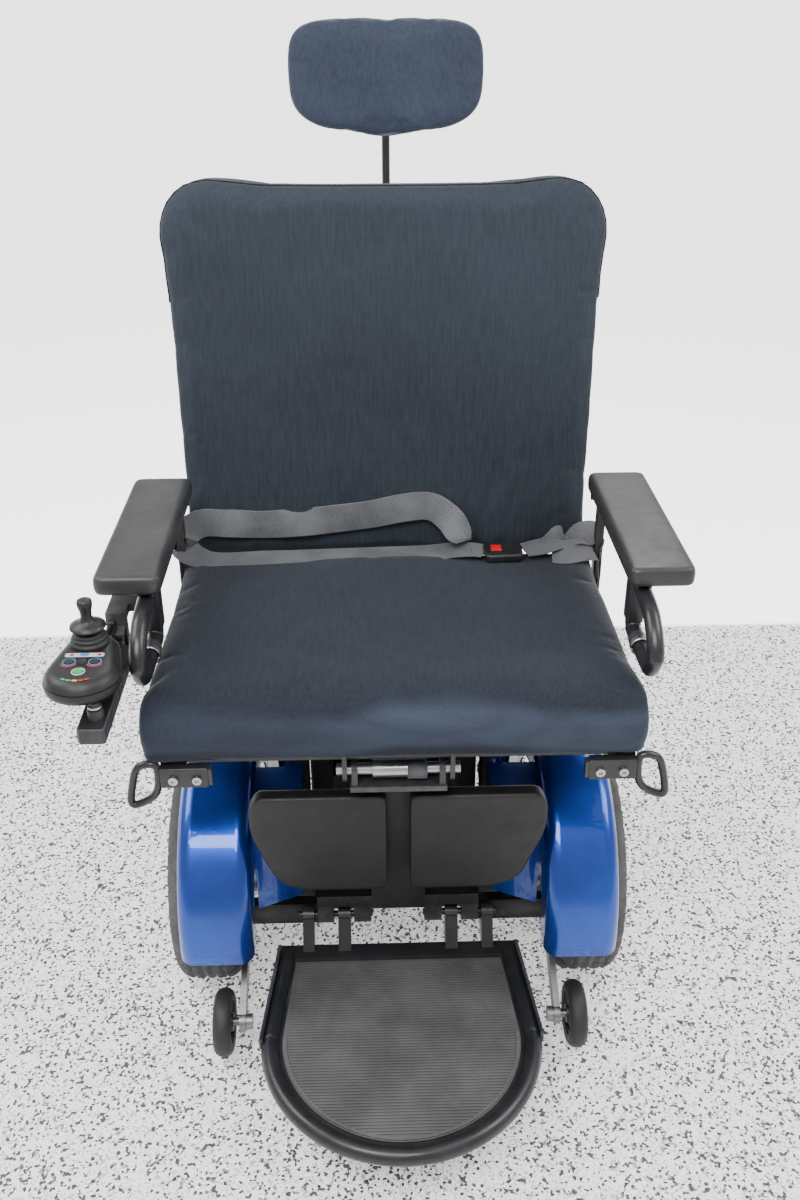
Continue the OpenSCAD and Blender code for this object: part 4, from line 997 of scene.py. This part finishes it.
# Anti-tip wheels: a black tyre on a spoked grey hub
for side_name in ("left", "right"):
    low, high = mm("antitip_wheel_" + side_name)
    cx, cy, cz = (low.x + high.x) / 2, (low.y + high.y) / 2, (low.z + high.z) / 2
    rim = high.z - cz - 0.2
    profile = [(30, -11), (34, -12.6), (40, -12.9), (rim - 4, -10.5), (rim - 1, -6), (rim, 0), (rim - 1, 6),
        (rim - 4, 10.5), (40, 12.9), (34, 12.6), (30, 11), (30, 4), (29, 0), (30, -4)]
    tyre = lathe("antitip_tyre_" + side_name, profile, (cx, cy, cz), "X", 72)
    piece(sharp(tyre, 50), "antitip_roller_" + side_name, "black_rubber", black_rubber,
        "antitip_wheel_" + side_name)
    profile = [(6.2, -13), (13, -13), (13.5, -10), (15, -8), (26, -6), (27, -9), (30.4, -9.5), (30.4, 9.5),
        (27, 9), (26, 6), (15, 8), (13.5, 10), (13, 13), (6.2, 13)]
    hub = lathe("antitip_hub_" + side_name, profile, (cx, cy, cz), "X", 60)
    piece(sharp(hub, 35), "antitip_roller_" + side_name, "grey_plastic", housing_plastic)

# ---------- Foot platform's ribbed mat ----------

low, high = mm("footplate_mat")
R_MAT, ARC_Y = 166.0, -277.0


def mat_half(y):
    if y < ARC_Y:
        return math.sqrt(max(0, R_MAT**2 - (y - ARC_Y) ** 2))
    t = (y - ARC_Y) / (high.y - ARC_Y)
    return R_MAT - (R_MAT - 154) * t


outline = []
for k in range(41):
    y = ARC_Y - R_MAT * math.cos(math.pi / 2 * k / 40)
    outline.append((mat_half(y), y))
outline += [(mat_half(high.y), high.y - 0.4)]
outline += [(-u, v) for u, v in outline[::-1]][:-1]
sheet = slab("mat_sheet", outline, plan, low.z + 0.05, low.z + 2.2, bevel=0.8, segments=2)
bm = bmesh.new()
y = low.y + 8
while y < high.y - 6:
    w = mat_half(y) - 7
    if w > 8:
        brick((-w, y - 1.45, low.z + 1.6), (w, y + 1.45, low.z + 3.5), 0.9, 2, bm=bm)
    y += 4.7
lines = from_bmesh("mat_ribs", bm)
frame_rim = []
for k in range(81):
    t = k / 80
    a = math.pi * (1 + t)
    frame_rim.append(Vector(((R_MAT - 4) * math.cos(a), ARC_Y + (R_MAT - 4) * math.sin(a), low.z + 2.6)))
border = sweep("mat_border", frame_rim, [(-1.4, -2.2), (1.2, -2.2), (1.4, 0), (1.2, 2.2), (-1.4, 2.2)],
    (0, 0, 1))
mat_piece = join("footplate_mat_ribbed", sheet, lines, border)
piece(sharp(mat_piece, 40), "foot_platform", "grey_rubber", grey_mat_rubber, "footplate_mat")

# ---------- Tie-down rings ----------


def closed_curve(points, steps=6):
    """Points of a smooth closed curve through the given ones."""
    pts = [Vector(p) for p in points]
    n = len(pts)
    out = []
    for i in range(n):
        a, b, c, d = pts[i - 1], pts[i], pts[(i + 1) % n], pts[(i + 2) % n]
        for k in range(steps):
            out.append(spline_point(a, b, c, d, k / steps))
    return out


def ring_tube(name, points, r, flat):
    """A closed tube in a plane across Y; flat thickens it along Y."""
    path = closed_curve(points)
    u = Vector((0, 1, 0))
    n = len(path)
    rings = []
    for i, p in enumerate(path):
        t = (path[(i + 1) % n] - path[i - 1]).normalized()
        b = t.cross(u).normalized()
        rings.append([p + u * (flat * x) + b * y for x, y in circle(r, 14)])
    return from_rings(name, rings, closed=True)


tie_y = -212.0
RING = [(306, 512), (306, 496), (309, 480), (316, 469), (328, 461), (339, 457), (344, 462), (342.5, 476),
    (339, 492),
        (335, 507), (329, 516.5), (318, 520.5), (309, 519)]
ring = ring_tube("tie_ring_left", [(x, tie_y, z) for x, z in RING], 5.0, flat=1.1)
low, high = mm("tie_down_left")
bm = bmesh.new()
brick((low.x, -219, 487), (303, -205, 516.6), 1.8, 3, bm=bm)
brick((low.x - 5, -217.5, 489.5), (low.x + 1, -206.5, 514), 1.2, 2, bm=bm)
plate = from_bmesh("tie_plate_left", bm)
eye = sharp(join("tie_down_eye_left", ring, plate), 40)
eye_right = sharp(mirrored(eye, "tie_down_eye_right"), 40)
piece(eye, "chassis", "black_metal", black_coat, "tie_down_left")
piece(eye_right, "chassis", "black_metal", black_coat, "tie_down_right")

# ---------- Armrests: smooth loop, bevelled upright and bar ----------


ARM_X = 322
ARM_FOOT_Z = 598
LOOP_R = 11


def arm_frame(side_name, s):
    low = mm("arm_pad_" + side_name)[0]
    y0, z0 = low.y, low.z
    x = s * ARM_X
    up_y = y0 + 60
    loop_low = ARM_FOOT_Z + 4 + LOOP_R
    top = z0 - 12
    pts = [(up_y + 8, top), (y0 - 12, top - 6), (y0 - 44, top - 18), (y0 - 62, top - 34), (y0 - 69, top - 50),
        (y0 - 66, loop_low + 24), (y0 - 56, loop_low + 7), (y0 - 40, loop_low + 0.5),
           (up_y - 18, loop_low), (up_y - 5, loop_low + 5), (up_y, loop_low + 18), (up_y, loop_low + 36)]
    parts = [tube("loop", [(x, y, z) for y, z in pts], LOOP_R, 7, 20)]
    parts.append(lathe("collar", [(11.1, -7), (12.6, -6), (12.6, 6), (11.1, 7)], (x, up_y - 40, loop_low),
        "Y", 32))
    bm = bmesh.new()
    brick((x - 11, y0 + 20, z0 - 18), (x + 11, 194, z0 - 0.3), 2.5, 3, bm=bm)
    for u in (-11, 7):
        brick((x + u, 188, z0 - 18), (x + u + 4, 210, z0 - 0.3), 1, 2, bm=bm)
    brick((x - 11, up_y - 13, ARM_FOOT_Z + 26), (x + 11, up_y + 13, z0 - 15), 3, 3, bm=bm)
    for z in (640, 664):
        made = bmesh.ops.create_cone(bm, cap_ends=True, segments=16, radius1=4.2, radius2=3.6, depth=3)["verts"]
        for v in made:
            v.co = Vector((x + s * (11.6 + v.co.z), up_y + v.co.x, z + v.co.y))
    parts.append(from_bmesh("bars", bm))
    for u in (-11, 7):
        profile = [(6.1, u), (8.4, u), (9, u + 0.6), (9, u + 3.4), (8.4, u + 4), (6.1, u + 4)]
        parts.append(lathe("knuckle", profile, (x, 210, 693), "X", 40))
    frame_piece = join("arm_frame_%s_metal" % side_name, *parts)
    piece(sharp(frame_piece, 38), "armrest_" + side_name, "black_metal", black_coat, "arm_frame_" + side_name)
    # Silver lock collar at the foot of the loop
    ring = lathe("arm_lock_collar_" + side_name, [(12.8, -5), (14.0, -4), (14.0, 4), (12.8, 5)],
        (x, up_y - 52, loop_low), "Y", 36)
    piece(sharp(ring, 40), "armrest_" + side_name, "silver_metal", turned_steel)


arm_frame("left", 1)
arm_frame("right", -1)

# ---------- Joystick ----------

POD_X, STICK_Y, NOSE_Y, REAR_R, NOSE_R = -370.0, -196.0, -251.0, 34.0, 45.0
GAUGE_R = 31
CABLE_R = 3


def pod_ring(inset, z, n=72):
    """The outline round the stick's circle and the wider nose's circle, drawn in by inset."""
    out = []
    for k in range(n):
        a = 2 * math.pi * k / n
        d = Vector((math.cos(a), math.sin(a)))
        rear = STICK_Y * d.y + REAR_R
        nose = NOSE_Y * d.y + NOSE_R
        cy, r = (STICK_Y, REAR_R) if rear > nose else (NOSE_Y, NOSE_R)
        out.append(Vector((POD_X + (r - inset) * d.x, cy + (r - inset) * d.y, z)))
    return out


levels = [(12, 662.4), (5, 663.2), (1.5, 666), (0.2, 670), (0, 674), (0.4, 677.2), (1.6, 677.6), (1.6, 678.4),
    (0.6, 678.9), (2.6, 683), (5.2, 686.6), (8.6, 689.4), (12.5, 690.9), (17, 691.6)]
pod = from_rings("joystick_housing", [pod_ring(i, z) for i, z in levels])
piece(sharp(pod, 45), "joystick_arm", "grey_plastic", housing_plastic, "joystick_pod")
# Pale strip and marks ahead of the boot, and a speed gauge at the nose
strip_bar = slab("panel_strip", [(u + POD_X, v - 226.5) for u, v in round_rect(46, 8.5, 3, 4)], plan, 690.8,
    692.1, bevel=0.4, segments=2)
piece(strip_bar, "joystick_arm", "button_plastic", pale_plastic)
bm = bmesh.new()
for u in (-17, 15.5):
    brick((POD_X + u, -229, 691.6), (POD_X + u + 4, -225, 692.6), 0.4, 2, bm=bm)
piece(from_bmesh("panel_red_marks", bm), "joystick_arm", "red_plastic", red_plastic)
bm = bmesh.new()
brick((POD_X - 5, -229.4, 691.6), (POD_X + 5, -223.6, 692.6), 0.6, 2, bm=bm)
piece(from_bmesh("panel_display", bm), "joystick_arm", "grey_plastic", blue_mark)
KEYS = {"power": (POD_X, NOSE_Y - 12), "slower": (POD_X + 15, NOSE_Y + 9), "faster": (POD_X - 15, NOSE_Y + 9),
    "horn": (POD_X, NOSE_Y + 9)}
KEY_CAP = [(0.05, 689.2), (5.9, 689.2), (5.9, 692.6), (5.3, 693.4), (3.4, 693.0), (0.05, 692.7)]
KEY_RING = [(6.6, 691.2), (8.0, 691.2), (8.0, 692.2), (6.6, 692.2)]
for key, (u, v) in KEYS.items():
    cap = lathe(key + "_key_cap", KEY_CAP, (u, v, 0), "Z", 36)
    piece(sharp(cap, 40), key + "_key", "button_plastic", green_mark if key == "power" else black_rubber,
        key + "_button")
    if key != "horn":
        halo = lathe(key + "_ring", KEY_RING, (u, v, 0), "Z", 40)
        piece(halo, "joystick_arm", "button_plastic", blue_mark if key != "power" else pale_plastic)
for k, paint_mark in enumerate((green_mark, green_mark, yellow_mark, red_plastic, red_plastic)):
    pts = []
    for j in range(5):
        a = math.radians(238 + 13 * k + 2.7 * j)
        pts.append(Vector((POD_X + GAUGE_R * math.cos(a), NOSE_Y + GAUGE_R * math.sin(a), 691.6)))
    mark = sweep("gauge_%d" % k, pts, [(-0.5, -1.3), (0.5, -1.3), (0.5, 1.3), (-0.5, 1.3)], (0, 0, 1))
    piece(mark, "joystick_arm", "button_plastic", paint_mark)
for s in (-1, 1):
    pts = []
    for j in range(9):
        a = math.radians(200 + 140 * j / 8)
        pts.append(Vector((POD_X + s * 15 + 10 * math.cos(a), NOSE_Y + 9 + 10 * math.sin(a), 691.5)))
    arc_name = "key_arc_" + ("left" if s > 0 else "right")
    mark = sweep(arc_name, pts, [(-0.5, -0.7), (0.5, -0.7), (0.5, 0.7), (-0.5, 0.7)], (0, 0, 1))
    piece(mark, "joystick_arm", "red_plastic", red_plastic)
# Bellows and knob
profile = [(22.6, 690.6), (23.6, 693.4), (22.4, 696.2), (19.6, 697.2), (21.4, 699.2), (20.6, 701.4),
    (17.4, 702.4), (18.8, 704.2), (17.4, 706.2), (12, 707.4), (9, 707.6), (9, 690.6)]
boot = lathe("joystick_boot", profile, (POD_X, STICK_Y, 0), "Z", 56)
boot.data.materials.append(black_rubber)
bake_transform(boot)
profile = [(0.05, 683), (3.1, 683), (3.1, 711.5), (19.6, 711.8), (21.6, 713.2), (21.2, 715.2), (15, 718.2),
    (9.4, 720.4), (7.6, 723.5), (6.6, 728), (6.9, 734), (8.6, 740), (9.3, 744.5), (8.6, 748.2), (5.6, 750),
    (0.05, 750)]
knob = lathe("joystick_knob", profile, (POD_X, STICK_Y, 0), "Z", 56)
piece(sharp(knob, 60), "stick", "black_rubber", housing_plastic, "joystick_stick")
# Swing arm under the housing, with the clamp post that carries it
outline = [(-375, -98), (-371.5, -90), (-364, -87), (-356.5, -90), (-353, -98), (-353, -114), (-338, -128),
    (-338, -306), (-341, -309), (-367, -309), (-370, -306), (-370, -128), (-375, -114)]
bar = slab("arm_bar", outline, plan, 621.2, 641.8, bevel=2.2, segments=3)
post = lathe("post", [(0.05, 641), (9.4, 641), (9.4, 652), (8.6, 653.4), (6.2, 653.8), (6.2, 662.6),
    (0.05, 662.6)], (-352, -282, 0), "Z", 40)
foot = lathe("foot", [(0.05, 641), (9, 641), (9, 662.6), (0.05, 662.6)], (-360, -196, 0), "Z", 40)
bm = bmesh.new()
brick((-374, -126, 641), (-362, -119, 655), 1.2, 2, bm=bm)
brick((-374, -126, 652), (-362, -91.5, 654.9), 0.9, 2, bm=bm)
brick((-373, -101, 654), (-363, -91, 663), 1.6, 3, bm=bm)
clip = from_bmesh("clip", bm)
swing = join("joystick_swing_bar", bar, post, foot, clip)
piece(sharp(swing, 40), "joystick_arm", "black_plastic", frame_coat, "joystick_swing_arm")
screw = lathe("clamp_screw", [(6.3, 655), (8.2, 655.4), (8.2, 658), (6.3, 658.4)], (-352, -282, 0), "Z", 32)
piece(sharp(screw, 40), "joystick_arm", "silver_metal", turned_steel)
# The joystick's lead: out of the housing's back and down to its socket on the swing arm
LEAD = [(-163, 671), (-157, 671), (-150, 670.2), (-140, 667), (-128, 662.6), (-115, 659.6), (-104, 658.4),
    (-95, 658)]
lead = curve_through([(-368, y, z) for y, z in LEAD], 3)
cable = sweep("joystick_lead", lead, circle(CABLE_R, 14), (1, 0, 0))
piece(cable, "joystick_arm", "black_rubber", black_rubber, "joystick_cable")

# ---------- Headrest post, pin strap and small fittings ----------

frame["nodes"]["headrest_post"].data.materials[0] = black_coat
PULL = [(-176.5, 470), (-173.5, 479), (-165, 481.8), (-156.5, 479), (-154, 470), (-157, 461), (-164, 455.8),
    (-172, 459.5)]
PULL_SECTION = [(-13, -0.7), (0, -0.9), (13, -0.7), (13, 0.7), (0, 0.9), (-13, 0.7)]
loop = closed_curve([(25, y, z) for y, z in PULL], 5)
rings = []
for i, p in enumerate(loop):
    t = (loop[(i + 1) % len(loop)] - loop[i - 1]).normalized()
    b = t.cross(Vector((1, 0, 0))).normalized()
    rings.append([p + Vector((u, 0, 0)) + b * w for u, w in PULL_SECTION])
pull = from_rings("pin_pull_strap", rings, closed=True)
piece(pull, "chassis", "webbing", belt_cloth)
# Round knob that locks the left armrest's height
lobes = []
for k in range(48):
    a = 2 * math.pi * k / 48
    r = 10.5 + 0.9 * math.cos(8 * a)
    lobes.append((-46 + r * math.cos(a), 652 + r * math.sin(a)))
grip = slab("arm_lock_knob_left", lobes, side, 333.2, 343, bevel=1.6, segments=3)
piece(sharp(grip, 45), "armrest_left", "black_plastic", black_plastic)

# ---------- Floor and light ----------

FLOOR_HALF = 120
ground = bpy.data.meshes.new("floor")
bm = bmesh.new()
bmesh.ops.create_grid(bm, x_segments=1, y_segments=1, size=FLOOR_HALF)
bm.to_mesh(ground)
bm.free()
ground.materials.append(floor_look())
floor = link("floor", ground, False)


def lamp(name, place, aim, size, power, tint=(1, 1, 1)):
    data = bpy.data.lights.new(name, "AREA")
    data.shape = "RECTANGLE"
    data.size, data.size_y = size
    data.energy = power
    data.color = tint
    obj = bpy.data.objects.new(name, data)
    bpy.context.scene.collection.objects.link(obj)
    obj.location = place
    obj.rotation_euler = (Vector(aim) - Vector(place)).to_track_quat("-Z", "Y").to_euler()


lamp("ceiling_front", at(-500, -1500, 2600), at(0, 0, 500), (1.6, 0.9), 62)
lamp("ceiling_left", at(-1900, 300, 2500), at(0, 100, 500), (1.4, 1.4), 42)
lamp("ceiling_right", at(1900, -200, 2500), at(0, 100, 500), (1.4, 1.4), 42)
lamp("ceiling_back", at(300, 1900, 2400), at(0, 300, 700), (1.8, 1.0), 36)
world = bpy.data.worlds.new("studio")
bpy.context.scene.world = world
world.use_nodes = True
world.node_tree.nodes["Background"].inputs[0].default_value = (0.98, 0.985, 1.0, 1)
world.node_tree.nodes["Background"].inputs[1].default_value = 0.8
